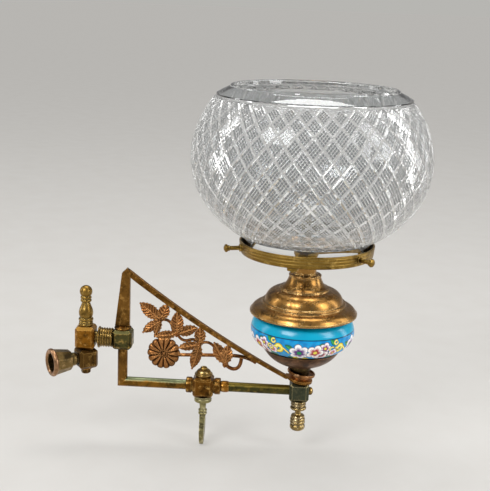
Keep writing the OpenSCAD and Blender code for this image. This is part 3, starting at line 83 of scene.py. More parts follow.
# %% Find the lamp's axes
MM = 0.001


def middle(node):
    low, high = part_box(node)
    return (low + high) / 2


column = middle("gas_column")
swivel = middle("swivel_plug")
arm_way = Vector((column.x - swivel.x, column.y - swivel.y, 0)).normalized()
arm_turn = math.atan2(arm_way.y, arm_way.x)
print("column at", round(column.x / MM, 2), round(column.y / MM, 2), "mm")
print("the arm points", round(math.degrees(arm_turn), 1), "degrees from +X")

# %% [markdown]
# ## The camera
#
# The view looks down on the lamp a little from the side where the arm swings out. The lens is a
# short telephoto: 75 mm on a 36 mm wide frame. `to_track_quat` turns a camera so that it looks
# along a direction with its top upwards, and a small extra turn about its own axis gives the
# slight lean of a picture taken by hand.

# %% Place the camera
camera_place = Vector((730.9, -290.0, 287.1)) * MM
camera_look = Vector((-0.8179, 0.5265, -0.2323))
camera_lean = math.radians(2.24)

lens = bpy.data.cameras.new("view")
lens.sensor_fit = "HORIZONTAL"
lens.sensor_width = 36
lens.lens = 74.73
lens.clip_start = 0.05
camera = bpy.data.objects.new("view", lens)
bpy.context.scene.collection.objects.link(camera)
camera.rotation_mode = "QUATERNION"
camera.location = camera_place
camera.rotation_quaternion = (camera_look.to_track_quat("-Z", "Y")
                              @ Quaternion((0, 0, 1), camera_lean))
bpy.context.scene.camera = camera
bpy.context.scene.view_settings.view_transform = "Standard"
print("camera", round((camera_place - column).length, 2), "m from the column")

# %% [markdown]
# ## Helpers for modelling
#
# A finished piece keeps its place in its mesh and its object at the origin, as a CAD piece does,
# which is what `transform_apply` is for.
#
# Bowls, globes and collars are turned shapes. A turner would draw half a section and spin it.
# The same is done here from below: a circle is extruded ring by ring, and each new ring is
# lifted and scaled to the next point of the section. It is used twice, so it is a function.

# %% Start, turn and finish a piece
def clear_selection():
    if bpy.context.mode != "OBJECT":
        bpy.ops.object.mode_set(mode="OBJECT")
    bpy.ops.object.select_all(action="DESELECT")


def turn_rings(name, section, around):
    clear_selection()
    radius, height = section[0]
    bpy.ops.mesh.primitive_circle_add(vertices=around, radius=radius * MM,
                                      location=(column.x, column.y, height * MM))
    piece = bpy.context.object
    piece.name = name
    bpy.ops.object.mode_set(mode="EDIT")
    bpy.ops.mesh.select_all(action="SELECT")
    for next_radius, next_height in section[1:]:
        centre = (column.x, column.y, next_height * MM)
        grow = next_radius / radius
        bpy.ops.mesh.extrude_edges_move(
            TRANSFORM_OT_translate={"value": (0, 0, (next_height - height) * MM)})
        bpy.ops.transform.resize(value=(grow, grow, 1), center_override=centre)
        radius, height = next_radius, next_height
    return piece


def select_edges(piece, wanted):
    bpy.ops.mesh.select_mode(type="EDGE")
    bpy.ops.mesh.select_all(action="DESELECT")
    mesh = bmesh.from_edit_mesh(piece.data)
    chosen = [edge for edge in mesh.edges if wanted(edge)]
    for edge in chosen:
        edge.select_set(True)
    bmesh.update_edit_mesh(piece.data)
    return len(chosen)


def height_of(edge):
    return (edge.verts[0].co.z + edge.verts[1].co.z) / 2


def finish(piece, body):
    bpy.ops.object.mode_set(mode="OBJECT")
    bpy.ops.object.select_all(action="DESELECT")
    piece.select_set(True)
    bpy.context.view_layer.objects.active = piece
    bpy.ops.object.transform_apply(location=True, rotation=True, scale=True)
    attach(piece, body)
    mesh = bmesh.new()
    mesh.from_mesh(piece.data)
    open_edges = sum(edge.is_boundary for edge in mesh.edges)
    mesh.free()
    print(piece.name, "has", len(piece.data.polygons), "faces and", open_edges, "open edges")


# %% [markdown]
# ## The cut-glass globe
#
# The globe was blown into a mould and then cut. A wheel with a V edge ran two sets of spiral
# grooves over it, which cross and leave a lattice of diamonds, and a finer wheel hatched each
# diamond. Above the cuts is a plain collar with a fire-polished lip.
#
# The lattice could be faked with a bump map, but glass shows its shape by refraction, so the cuts
# are real faces. Spiral grooves keep one angle to the horizontal, so the diamonds shrink towards
# neck and mouth by themselves if the rings between them are spaced by their distance on the
# surface divided by their radius. Forty-three diamonds go round, in sixteen staggered rows.

# %% Space the rings of the lattice
AROUND = 43
ROWS = 16
GLOBE_R = 93.8
GLOBE_Z = 171.0
DROP = 72.5
RISE = 79.5
LATTICE_TOP = 217.4
LATTICE_FOOT = 111.4
GROOVE = 0.85


def globe_r(z, wall=0.0):
    half = (DROP if z < GLOBE_Z else RISE) - 0.9 * wall
    return (GLOBE_R - wall) * math.sqrt(1 - ((z - GLOBE_Z) / half) ** 2)


walk = [(0.0, LATTICE_FOOT)]
step = 0.1
while walk[-1][1] < LATTICE_TOP:
    turned, z = walk[-1]
    run = math.hypot(step, globe_r(z + step) - globe_r(z))
    walk.append((turned + run / globe_r(z + step / 2), z + step))
whole = walk[-1][0]
ring_z = [next(z for turned, z in walk if turned >= whole * i / (ROWS + 1) - 1e-6)
          for i in range(ROWS + 2)]
lattice = [(globe_r(z) - GROOVE - 0.25, z) for z in ring_z]
tall = whole / (ROWS + 1) * AROUND / math.pi
print("rings at", [round(z) for z in ring_z], "diamonds", round(tall, 2), "times as high as wide")

# %% [markdown]
# Each ring of the lattice is also turned by half a diamond against the one below, so the faces
# between two rings become leaning parallelograms. Splitting each along its short diagonal gives
# triangles, and dissolving the level edges joins them in pairs: the diamonds.

# %% Turn the lattice and find its diamonds
globe = turn_rings("cut_glass_globe", lattice[:1], AROUND)
for (r_low, z_low), (r_high, z_high) in zip(lattice, lattice[1:]):
    centre = (column.x, column.y, z_high * MM)
    bpy.ops.mesh.extrude_edges_move(
        TRANSFORM_OT_translate={"value": (0, 0, (z_high - z_low) * MM)})
    bpy.ops.transform.resize(value=(r_high / r_low, r_high / r_low, 1), center_override=centre)
    bpy.ops.transform.rotate(value=math.pi / AROUND, orient_axis="Z", center_override=centre)
bpy.ops.mesh.select_all(action="SELECT")
bpy.ops.mesh.quads_convert_to_tris(quad_method="SHORTEST_DIAGONAL", ngon_method="BEAUTY")
bpy.ops.mesh.normals_make_consistent(inside=False)
level = select_edges(globe, lambda edge: not edge.is_boundary
                     and abs(edge.verts[0].co.z - edge.verts[1].co.z) < 1e-6)
bpy.ops.mesh.dissolve_edges(use_verts=False)
print("dissolved", level, "level edges;", len(bmesh.from_edit_mesh(globe.data).faces), "faces left")

# %% [markdown]
# An inset of each face by itself with a lift cuts all the V grooves at once: the old edges stay
# down as the grooves' floors and the diamonds rise between them. The fine hatching is a grid on
# each diamond, whose cells are poked into small pyramids. The real hatching is a little finer;
# four cells a side is the closest that still shows at this distance.

# %% Cut the grooves and the hatching
bpy.ops.mesh.select_mode(type="FACE")
bpy.ops.mesh.select_all(action="SELECT")
bpy.ops.mesh.inset(thickness=1.0 * MM, depth=GROOVE * MM, use_individual=True)
bpy.ops.mesh.subdivide(number_cuts=3)
bpy.ops.mesh.inset(thickness=0.28 * MM, depth=0.22 * MM, use_individual=True)
mesh = bmesh.from_edit_mesh(globe.data)
cut = mesh.faces.layers.int.new("cut")
for face in mesh.faces:
    face[cut] = 1 if face.select else 2
bmesh.update_edit_mesh(globe.data)
print("the cut field has", len(bmesh.from_edit_mesh(globe.data).faces), "faces")
bpy.ops.object.mode_set(mode="OBJECT")

# %% [markdown]
# The rest of the globe is smooth: a sharp ring groove, the collar, the lip rolled over, the inner
# wall all the way down, the foot that stands in the gallery ring, and the neck. It is turned as
# one band with four times as many sides, then bridged to the lattice at both ends, so the glass
# is one closed body and light bends only where it should.

# %% Turn the smooth wall and bridge it to the lattice
WALL = 4.0
NECK_R = 49.8
FOOT_Z = 98.1
lip = [(63.0 + 1.8 * math.cos(math.radians(a)), 225.4 + 1.8 * math.sin(math.radians(a)))
       for a in range(0, 181, 30)]
inner_top = 214.8
inner_foot = GLOBE_Z - (DROP - 0.9 * WALL) * math.sqrt(
    1 - ((NECK_R - WALL) / (GLOBE_R - WALL)) ** 2)
inner = [(globe_r(z, WALL), z) for z in
         [inner_top + (inner_foot + 0.2 - inner_top) * i / 26 for i in range(27)]]
smooth_wall = (
    [(75.6, 217.8), (74.5, 218.5), (75.1, 219.1), (75.0, 220.0), (70.2, 222.9)]
    + lip + [(61.0, 224.0), (66.9, 219.8)] + inner
    + [(45.8, 110.0), (45.8, 98.7), (46.5, 98.1), (48.9, 98.1), (49.6, 98.6), (49.8, 99.4),
       (49.8, 109.4), (51.2, 110.6)])
wall = turn_rings("globe_wall", smooth_wall, 4 * AROUND)
clear_selection()
wall.select_set(True)
globe.select_set(True)
bpy.context.view_layer.objects.active = globe
bpy.ops.object.join()
bpy.ops.object.mode_set(mode="EDIT")
for over in (True, False):
    select_edges(globe, lambda edge: edge.is_boundary and (height_of(edge) > 0) == over)
    bpy.ops.mesh.bridge_edge_loops()
bpy.ops.mesh.select_all(action="SELECT")
bpy.ops.mesh.normals_make_consistent(inside=False)
bpy.ops.object.mode_set(mode="OBJECT")
bpy.ops.object.shade_smooth_by_angle(angle=math.radians(14))
finish(globe, "shade")
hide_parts("glass_shade")

# %% [markdown]
# ## The painted bowl
#
# Under the cap sits a bowl of glazed ceramic, thrown in one piece and painted by hand. It could
# be turned like the globe's wall, ring by ring. But the paint will be kept on the mesh's
# vertices, so the mesh must be fine, and spinning one section is quicker when there are hundreds
# of sides. The section is drawn by extruding a single vertex along its points, and they lie four
# tenths of a millimetre apart where the painting goes.

# %% Draw the bowl's section and spin it
BOWL_MIDDLE = (24.0, 34.0)
BOWL_BULGE = (17.6, 16.0)
BOWL_WALL = 3.2
BOWL_SIDES = 640
HOLE_R = 6.2


def on_bowl(degrees, wall=0.0):
    a = math.radians(degrees)
    return (BOWL_MIDDLE[0] + (BOWL_BULGE[0] - wall) * math.cos(a),
            BOWL_MIDDLE[1] + (BOWL_BULGE[1] - wall) * math.sin(a))


outside = [on_bowl(-74.3 + 134.3 * i / 94) for i in range(95)]
inside = [on_bowl(66 - 156 * i / 14, BOWL_WALL) for i in range(15)]
bowl_section = ([(HOLE_R, 18.6), (28.4, 18.6)] + outside + [(31.2, 48.6), (31.0, 49.6), (31.0, 55.5),
                (27.8, 55.5), (27.8, 49.4)] + inside + [(HOLE_R, 21.2)])

clear_selection()
bpy.ops.mesh.primitive_plane_add(size=MM, location=(column.x + HOLE_R * MM, column.y, 18.6 * MM))
bowl = bpy.context.object
bowl.name = "painted_bowl"
bpy.ops.object.mode_set(mode="EDIT")
bpy.ops.mesh.select_mode(type="VERT")
bpy.ops.mesh.select_all(action="SELECT")
bpy.ops.mesh.merge(type="CENTER")
for (x, z), (next_x, next_z) in zip(bowl_section, bowl_section[1:]):
    bpy.ops.mesh.extrude_vertices_move(
        TRANSFORM_OT_translate={"value": ((next_x - x) * MM, 0, (next_z - z) * MM)})
bpy.ops.mesh.select_all(action="SELECT")
bpy.ops.mesh.edge_face_add()
bpy.ops.mesh.delete(type="ONLY_FACE")
bpy.ops.mesh.select_all(action="SELECT")
bpy.ops.mesh.spin(steps=BOWL_SIDES, angle=2 * math.pi, center=(column.x, column.y, 0), axis=(0, 0, 1))
bpy.ops.mesh.select_all(action="SELECT")
bpy.ops.mesh.remove_doubles(threshold=0.02 * MM)
bpy.ops.mesh.normals_make_consistent(inside=False)
bpy.ops.object.mode_set(mode="OBJECT")
bpy.ops.object.shade_smooth_by_angle(angle=math.radians(35))
finish(bowl, "arm")
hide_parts("enamel_bowl")

# %% [markdown]
# ## The dish under the bowl
#
# The bowl rests in a shallow copper dish, spun over a wooden former from one sheet. Its underside
# swells like the bowl above it, and its rim is turned in for the bowl's foot. The section is a
# quadratic curve from the neck to the rim, and the inside follows it one sheet's thickness away.

# %% Spin the copper dish
SHEET = 1.4
DISH_SIDES = 160


def dish_curve(inward):
    a, b, c = (9.0, 3.0 + inward), (25.0 - 0.6 * inward, 6.9 + inward), (31.0 - inward, 18.1)
    return [[(1 - u) ** 2 * p + 2 * u * (1 - u) * q + u * u * r for p, q, r in zip(a, b, c)]
            for u in [i / 16 for i in range(17)]]


dish_section = ([(5.7, 3.0)] + dish_curve(0) + [(30.8, 18.5), (28.2, 18.5), (28.2, 17.9)]
                + dish_curve(SHEET)[:-1][::-1] + [(5.7, 3.0 + SHEET)])
dish = turn_rings("spun_dish", dish_section, DISH_SIDES)
select_edges(dish, lambda edge: edge.is_boundary)
bpy.ops.mesh.bridge_edge_loops()
bpy.ops.mesh.select_all(action="SELECT")
bpy.ops.mesh.normals_make_consistent(inside=False)
bpy.ops.object.mode_set(mode="OBJECT")
bpy.ops.object.shade_smooth_by_angle(angle=math.radians(35))
finish(dish, "arm")
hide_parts("drip_dish")

# %% [markdown]
# ## The painting on the bowl
#
# The ground is azure under a plain turquoise shoulder, with a fine navy line between them. On it
# run yellow scrolls, five-petalled blossoms and leaves, each with a dark contour as enamel
# painters draw them. A picture file would do this in one step, but this scene uses none. Instead
# every vertex gets a colour, as if a fine brush dotted it, and the glaze reads that attribute.
#
# Two numbers place a vertex on the band: its turn round the bowl, and its distance down the
# surface from the navy line. Each motif is then a small formula for how much paint lies there.

# %% Colours from the page to linear light
def colour(code):
    channels = [int(code[i:i + 2], 16) / 255 for i in (1, 3, 5)]
    return [c / 12.92 if c <= 0.04045 else ((c + 0.055) / 1.055) ** 2.4 for c in channels] + [1.0]


# %% Lay the ground colours
import numpy as np

count = len(bowl.data.vertices)
spots = np.empty(count * 3)
bowl.data.vertices.foreach_get("co", spots)
spots = spots.reshape(-1, 3) / MM
east = spots[:, 0] - column.x / MM
north = spots[:, 1] - column.y / MM
out = np.hypot(east, north)
turn = np.arctan2(north, east)
angle = np.degrees(np.arctan2((spots[:, 2] - BOWL_MIDDLE[1]) / BOWL_BULGE[1],
                              (out - BOWL_MIDDLE[0]) / BOWL_BULGE[0]))
steps = np.linspace(80, -80, 641)
course = np.array([on_bowl(a) for a in steps])
length = np.concatenate([[0], np.cumsum(np.hypot(*np.diff(course, axis=0).T))])
LINE_ANGLE = 12.0
line_at = np.interp(-LINE_ANGLE, -steps, length)
down = np.interp(-angle, -steps, length) - line_at


def soft(distance, width=0.3):
    return np.clip(0.5 - distance / width, 0, 1)


paint = np.tile(np.array(colour("#0092D4")), (count, 1))


def brush(amount, code):
    paint[:] += amount[:, None] * (np.array(colour(code)) - paint)


ripple = (np.sin(9 * turn + 0.35 * down) * np.sin(23 * turn - 0.6 * down + 1)
          + 0.5 * np.sin(41 * turn + 0.8 * down))
brush(np.clip(0.25 + 0.35 * ripple, 0, 0.6), "#00A4DC")
brush(np.clip(0.1 - 0.4 * ripple, 0, 0.5), "#006CB2")
print("ground laid on", count, "vertices; band", round(down.max() - 0), "mm deep")

# %% [markdown]
# A blossom is drawn in polar measures from its heart: the cosine of half the petals' turn is
# large along a petal's middle and nothing between two petals, so it gives the outline, the rim's
# white and the dark lines between. A leaf is a lens along its own axis with a midrib, and a
# scroll is a brush stroke that follows a line of points and tapers.

# %% The painter's motifs
def beside(at, depth):
    across = (turn - at + math.pi) % (2 * math.pi) - math.pi
    return across * out, down - depth


def blossom(at, depth, size, lean, heart, rim, eye, petals=5):
    x, y = beside(at, depth)
    far = np.hypot(x, y)
    round_it = np.arctan2(y, x) + lean
    ridge = np.abs(np.cos(petals * round_it / 2))
    edge = size * (0.60 + 0.40 * ridge ** 0.6)
    brush(soft(far - edge - 0.5), "#160C32")
    brush(soft(far - edge), rim)
    streak = 0.12 * np.cos(petals * 5 * round_it)
    brush(soft(far - edge, 0.4) * np.clip(2.7 - 3.6 * (far / edge + streak), 0, 1), heart)
    brush(soft(far - edge) * np.clip(1 - ridge * 5.5, 0, 1) * 0.8, heart)
    brush(soft(far - 0.24 * size), eye)
    brush(soft(np.abs(far - 0.24 * size) - 0.12), "#20184A")


def leaf(at, depth, long, wide, lean, fill, light):
    x, y = beside(at, depth)
    along = x * math.cos(lean) + y * math.sin(lean)
    across = y * math.cos(lean) - x * math.sin(lean)
    part = np.clip(along / long, 0, 1)
    half = wide / 2 * np.sin(math.pi * part ** 0.8) ** 0.7
    off = np.maximum(np.abs(across) - half, np.maximum(-along, along - long))
    brush(soft(off - 0.4), "#12203C")
    brush(soft(off), fill)
    brush(soft(off + 0.35, 0.5) * (across < 0) * 0.7, light)
    brush(soft(np.abs(across) - 0.12) * soft(off), "#14303A")


def scroll(at, depth, points, widths, fill, light):
    nearest = np.full(count, 99.0)
    centre = np.full(count, 99.0)
    x, y = beside(at, depth)
    near = np.flatnonzero((np.abs(x) < 30) & (np.abs(y) < 30))
    for (px, py), half in zip(points, widths):
        far = np.hypot(x[near] - px, y[near] - py)
        nearest[near] = np.minimum(nearest[near], far - half)
        centre[near] = np.minimum(centre[near], far)
    brush(soft(nearest - 0.4), "#14203A")
    brush(soft(nearest), fill)
    brush(soft(centre - 0.28), light)


# %% [markdown]
# The band repeats five times, and each repeat is told in millimetres: a scroll that curls round
# a bud, a purple blossom over yellow leaves, then a red-hearted pair with green leaves. A small
# change of lean and place from one repeat to the next keeps the look of hand work.

# %% Paint the band
REPEATS = 5
BOWL_PLACE = 41.6
START_TURN = -1.02
curl = [((1.2 + 0.9 * t) * math.cos(1.9 * t + 2.4), (1.2 + 0.9 * t) * math.sin(1.9 * t + 2.4))
        for t in np.linspace(0, 3.6, 70)]
tail_x, tail_y = curl[-1]
curl += [(tail_x + 12.5 * t, tail_y - 5.5 * math.sin(1.7 * t) + 9.0 * t * t)
         for t in np.linspace(0, 1, 50)]
curl_widths = [0.65 + 0.75 * math.sin(math.pi * min(1, i / 100)) for i in range(len(curl))]
ring_turn = np.linspace(0, 5.2, 30)
for repeat in range(REPEATS):
    lean = 0.5 * math.sin(2.4 * repeat + 0.6)
    drift = 0.8 * math.sin(3.1 * repeat + 1.7)

    def spot(mm):
        return START_TURN + 2 * math.pi * repeat / REPEATS + mm / BOWL_PLACE

    leaf(spot(-8.0), 4.5, 6.5, 3.2, -2.3, "#0E8A40", "#48C45A")
    leaf(spot(-6.0), 16.0 + drift, 7.5, 3.8, 2.6, "#0E7A3A", "#3CB452")
    leaf(spot(4.0), 18.0, 6.5, 3.4, 0.4, "#0C7C48", "#3CBA66")
    scroll(spot(-3.0), 7.8, curl, curl_widths, "#F0DC08", "#FFF8A8")
    scroll(spot(-7.0), 2.8, [(1.6 * math.cos(a), 1.6 * math.sin(a)) for a in ring_turn],
           [0.6] * 30, "#F0DC08", "#FFF8A8")
    blossom(spot(-8.5), 11.5 - drift, 4.2, lean, "#B82858", "#FFF4F8", "#F4E43A")
    leaf(spot(14.0), 17.0, 8.0, 4.6, 2.2, "#E8D010", "#FFF27A")
    leaf(spot(16.0), 17.5, 8.0, 4.4, 0.7, "#DCC40C", "#FFF27A")
    leaf(spot(9.0), 7.5, 6.0, 3.0, -2.7, "#128A48", "#54CC72")
    blossom(spot(14.5), 10.5 + drift, 8.0, 0.4 + lean, "#56107A", "#FFFFFF", "#0C9450", 6)
    leaf(spot(30.5), 3.4, 7.5, 3.4, 0.35, "#0E8440", "#4CC662")
    leaf(spot(38.0), 12.5, 7.0, 3.4, 0.9, "#0E7A3A", "#3CB452")
    blossom(spot(35.5), 6.2 + drift, 5.0, 1.3, "#84185E", "#FFF6FC", "#F0E040")
    blossom(spot(33.5), 15.2 - drift, 6.0, 0.9 - lean, "#A81430", "#FFFAF8", "#5A1836")
    blossom(spot(27.5), 10.6, 7.0, 0.2 - lean, "#B01830", "#FFFCFA", "#F4E050")
    scroll(spot(42.0), 8.4, [(2.0 * math.cos(a), 2.0 * math.sin(a)) for a in ring_turn],
           [0.6] * 30, "#E8D41C", "#FFF8A8")

shoulder = soft(down, 0.3)
brush(shoulder, "#00A2C8")
brush(shoulder * np.clip(0.3 * np.sin(7 * turn + 1.0) * np.sin(0.3 * down), 0, 1), "#14B6D8")
brush(soft(np.abs(down) - 0.32, 0.25), "#123050")
layer = bowl.data.color_attributes.new("painting", "FLOAT_COLOR", "POINT")
layer.data.foreach_set("color", paint.ravel())
print("painted", REPEATS, "repeats; mean colour", [round(v, 2) for v in paint[:, :3].mean(axis=0)])

# %% [markdown]
# ## The cast foliage
#
# Under the diagonal bar hangs a casting of leaves, a daisy and stems, made in a sand mould from a
# carved pattern. Its charm is the relief: each leaf is crowned and has a raised midrib with side
# ribs like a herring's bones. Modelling ribs one by one would be slow, so each leaf starts as a
# fine grid, and a formula for the relief moves its points, as a carver would work over a blank.
#
# The layout is measured in millimetres along the arm and up from the inlet's axis, as in the
# drawing. The front of the casting faces the negative side of the arm.

# %% Carve one leaf out of a grid
LEAF_BACK = 0.6


def carve_leaf(root, tip, width, set_in):
    clear_selection()
    run = math.dist(root, tip)
    bpy.ops.mesh.primitive_grid_add(x_subdivisions=48, y_subdivisions=18, size=1)
    leaf_piece = bpy.context.object
    ribs = max(4, round(run / 2.7))
    crest_light_shade_values = leaf_piece.data.attributes.new("crest_light_shade", "FLOAT", "POINT")
    for point, crest_light_shade in zip(leaf_piece.data.vertices, crest_light_shade_values.data):
        t, s = point.co.x + 0.5, 2 * point.co.y
        half = width / 2 * (0.10 + 0.90 * math.sin(math.pi * t ** 0.9) ** 0.75) * (1 - 0.8 * t ** 10)
        bone = (ribs * t - 1.5 * abs(s)) % 1
        ridge = 1 - abs(2 * bone - 1)
        half *= 1 + 0.03 * (ridge - 0.5) * abs(s) ** 3
        crown = 0.9 * (0.5 + 0.5 * math.sin(math.pi * t ** 0.7)) * (1 - 0.6 * s * s)
        side = min(1, 4 * abs(s)) * (1 - t ** 5)
        relief = 1.3 * ridge * side
        bone = math.exp(-(s * half / 0.5) ** 2)
        midrib = 1.6 * bone * (1 - 0.5 * t)
        # The value is high on the side ribs and midrib, for a painted highlight, and low in the valleys
        # between ribs, for painted shade.
        crest_light_shade.value = max(1.5 * bone, (2.2 * ridge - 1.3) * side)
        point.co = (t * run * MM, -(crown + relief + midrib) * MM, s * half * MM)
    solid = leaf_piece.modifiers.new("thickness", "SOLIDIFY")
    solid.thickness = 1.1 * MM
    solid.offset = -1
    bpy.ops.object.modifier_apply(modifier="thickness")
    leaf_piece.rotation_euler.y = -math.atan2(tip[1] - root[1], tip[0] - root[0])
    leaf_piece.location = (root[0] * MM, (LEAF_BACK - set_in) * MM, root[1] * MM)
    bpy.ops.object.transform_apply(location=True, rotation=True, scale=True)
    return leaf_piece


# %% Carve the twelve leaves in their four clusters
HUBS = [(60.9, 35.2), (74.6, 24.0), (93.2, 16.4), (114.6, 0.0)]
LEAVES = [(0, (43.6, 48.8), 10.8), (0, (65.8, 48.6), 9.2), (0, (46.2, 23.6), 7.8),
          (0, (56.2, 21.8), 5.4), (1, (74.2, 43.3), 10.2), (1, (91.0, 30.2), 8.8),
          (1, (55.6, 20.8), 7.4), (2, (93.0, 30.9), 9.2), (2, (75.4, 12.2), 7.4),
          (2, (87.2, -5.4), 8.8), (3, (104.6, 18.6), 10.2), (3, (116.0, 16.8), 9.6)]
foliage = []
for i, (hub, tip, width) in enumerate(LEAVES):
    root = HUBS[hub]
    step = 1.2 / math.dist(root, tip)
    start = [a + (b - a) * step for a, b in zip(root, tip)]
    foliage.append(carve_leaf(start, tip, width, 0.19 * (1 + i % 5)))
print("carved_light_shade", len(foliage), "leaves,", sum(len(o.data.polygons) for o in foliage), "faces")

# %% [markdown]
# The daisy is the same idea in polar measures: a grid rolled into a disc, its seam and middle
# merged. Fourteen petals swell between sharp valleys, and a beaded ring holds the domed heart. The
# stems are curves with a round section, which Blender turns to mesh.

# %% Carve the daisy
DAISY_AT = (63.8, 7.1)
DAISY_R = 13.3
DAISY_BACK = 1.0
PETALS = 14
clear_selection()
bpy.ops.mesh.primitive_grid_add(x_subdivisions=PETALS * 14, y_subdivisions=26, size=1)
daisy = bpy.context.object
crest_light_shade_values = daisy.data.attributes.new("crest_light_shade", "FLOAT", "POINT")
for point, crest_light_shade in zip(daisy.data.vertices, crest_light_shade_values.data):
    turned, q = 2 * math.pi * (point.co.x + 0.5), point.co.y + 0.5
    petal = abs(math.cos(PETALS * turned / 2))
    swell = petal ** 0.55
    reach = DAISY_R * q * (1 - 0.085 * (1 - swell) * q * q)
    if q < 0.15:
        high = 2.4 + 1.3 * math.sqrt(1 - (q / 0.15) ** 2)
    elif q < 0.27:
        high = 1.7 + 1.1 * math.sin(math.pi * (q - 0.15) / 0.12) * (0.75 + 0.25 * math.cos(20 * turned))
    else:
        out_q = (q - 0.27) / 0.73
        high = 0.5 + (1.1 + 1.5 * math.sin(math.pi * (0.25 + 0.6 * out_q))) * (0.3 + 0.7 * swell)
        high -= 0.45 * max(0, 1 - ((1 - petal) / 0.10) ** 2) * (1 - out_q) * out_q * 4
        high *= 1 - 0.55 * out_q ** 8
    # The value lights the petals and the heart's dome as a painted highlight, and darkens the valleys between
    # petals and the ring round the heart as painted shade.
    crest_light_shade.value = 0.5 * swell - max(0, 1 - 2.2 * petal) if q > 0.3 else 4 * abs(q - 0.19) - 0.4
    point.co = (reach * math.cos(turned) * MM, -high * MM, reach * math.sin(turned) * MM)
bpy.ops.object.mode_set(mode="EDIT")
bpy.ops.mesh.select_mode(type="VERT")
bpy.ops.mesh.select_all(action="SELECT")
bpy.ops.mesh.remove_doubles(threshold=0.01 * MM)
select_edges(daisy, lambda edge: edge.is_boundary)
back = (0, DAISY_BACK * MM, 0)
bpy.ops.mesh.extrude_edges_move(TRANSFORM_OT_translate={"value": back})
bpy.ops.transform.resize(value=(1, 0, 1), center_override=back)
bpy.ops.mesh.extrude_edges_move()
bpy.ops.transform.resize(value=(0.2, 1, 0.2), center_override=back)
bpy.ops.mesh.edge_face_add()
bpy.ops.mesh.select_all(action="SELECT")
bpy.ops.mesh.normals_make_consistent(inside=False)
bpy.ops.object.mode_set(mode="OBJECT")
# The back of the daisy gets no painted highlight or shade.
for point, crest_light_shade in zip(daisy.data.vertices, daisy.data.attributes["crest_light_shade"].data):
    crest_light_shade.value *= point.co.y < 0.5 * DAISY_BACK * MM
daisy.location = (DAISY_AT[0] * MM, 0.4 * MM, DAISY_AT[1] * MM)
bpy.ops.object.transform_apply(location=True, rotation=True, scale=True)
foliage.append(daisy)
print("the daisy has", PETALS, "petals and", len(daisy.data.polygons), "faces")


# %% Bend the stems
def bent(points, steps=10):
    line = [points[0]]
    for i in range(0, len(points) - 2, 2):
        a, b, c = points[i], points[i + 1], points[i + 2]
        for j in range(1, steps + 1):
            u = j / steps
            line.append([(1 - u) ** 2 * p + 2 * u * (1 - u) * q + u * u * r
                         for p, q, r in zip(a, b, c)])
    return line


def stem(line, radius, depth=0.0):
    path = bpy.data.curves.new("stem", "CURVE")
    path.dimensions = "3D"
    path.bevel_depth = radius * MM
    path.bevel_resolution = 4
    path.use_fill_caps = True
    spline = path.splines.new("POLY")
    spline.points.add(len(line) - 1)
    for point, (along, up) in zip(spline.points, line):
        point.co = (along * MM, (depth - 0.65 * radius) * MM, up * MM, 1)
    rod = bpy.data.objects.new("stem", path)
    bpy.context.scene.collection.objects.link(rod)
    clear_selection()
    rod.select_set(True)
    bpy.context.view_layer.objects.active = rod
    bpy.ops.object.convert(target="MESH")
    return bpy.context.object


vine = bent([HUBS[0], (69, 37), (70.4, 29.4), (71.4, 24.6), HUBS[1], (78.4, 16.8), (84.4, 19.4),
             (89.6, 21.4), HUBS[2], (100, 20.8), (105.4, 14), (107.6, 10.6), (108.8, 7.6)])
main = bent([(72.6, 5.8), (100, 7.2), (117, 7.6), (131, 8.4), (139.4, 2.6)])
loop = bent([HUBS[3], (119.4, -4.6), (123.4, -3), (127, -1.4), (127.3, 6.4)])
buds = [[(x - 1.5, z - 1.35), (x, z), (x + 1.5, z + 1.35)] for x, z in HUBS]
foliage += [stem(vine, 1.2, 0.5), stem(main, 1.5, 1.2), stem(loop, 1.5, 0.5)]
foliage += [stem(bud, 1.75) for bud in buds]

# %% Join the casting and set it on the arm
clear_selection()
for piece in foliage:
    piece.select_set(True)
casting = foliage[0]
casting.name = "cast_foliage"
bpy.context.view_layer.objects.active = casting
bpy.ops.object.join()
bpy.ops.object.shade_smooth_by_angle(angle=math.radians(50))
casting.location = (swivel.x, swivel.y, 0)
casting.rotation_euler.z = arm_turn
finish(casting, "arm")
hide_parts("foliage_spray")

# %% [markdown]
# ## Materials
#
# One helper adds a node, sets its options and either links or sets its sockets. A few nodes, such
# as Mix, have several sockets of the same name, so a socket may also be called by its number.

# %% One helper for nodes, one for a new material
def put(tree, kind, settings=None, sockets=None):
    node = tree.nodes.new("ShaderNode" + kind)
    for name, value in (settings or {}).items():
        setattr(node, name, value)
    for name, value in (sockets or {}).items():
        if isinstance(value, bpy.types.NodeSocket):
            tree.links.new(value, node.inputs[name])
        else:
            node.inputs[name].default_value = value
    return node


def new_material(name):
    made = bpy.data.materials.new(name)
    made.use_nodes = True
    shader = made.node_tree.nodes["Principled BSDF"]
    return made, made.node_tree, shader


def wear(piece, made):
    piece.data.materials.clear()
    piece.data.materials.append(made)


# %% [markdown]
# ### Cut glass
#
# Old cut glass is lead crystal: almost without colour, with an IOR a little above window glass,
# so its facets flash. The shape does the work here, and the fire-polished glass stays plain and
# smooth. The hatched diamonds get a grey tint that darkens further towards the foot, which is
# painted shade, and the wheel cuts and the ring groove get a share of opaque white, which is a
# painted highlight.

# %% The globe's glass
def glass(name, tint, rough, clear=1.0, foot=None):
    made, tree, shader = new_material(name)
    shader.inputs["Base Color"].default_value = colour(tint)
    # The grey darkens further towards the foot: painted shade.
    if foot:
        place = put(tree, "TexCoord").outputs["Object"]
        height = put(tree, "SeparateXYZ", sockets={"Vector": place}).outputs["Z"]
        part = put(tree, "MapRange", sockets={"Value": height, "From Min": 115 * MM, "From Max": 185 * MM})
        grey = put(tree, "Mix", {"data_type": "RGBA"}, {0: part.outputs[0], 6: colour(foot), 7: colour(tint)})
        tree.links.new(grey.outputs[2], shader.inputs["Base Color"])
    shader.inputs["Transmission Weight"].default_value = clear
    shader.inputs["Roughness"].default_value = rough
    shader.inputs["IOR"].default_value = 1.54
    return made


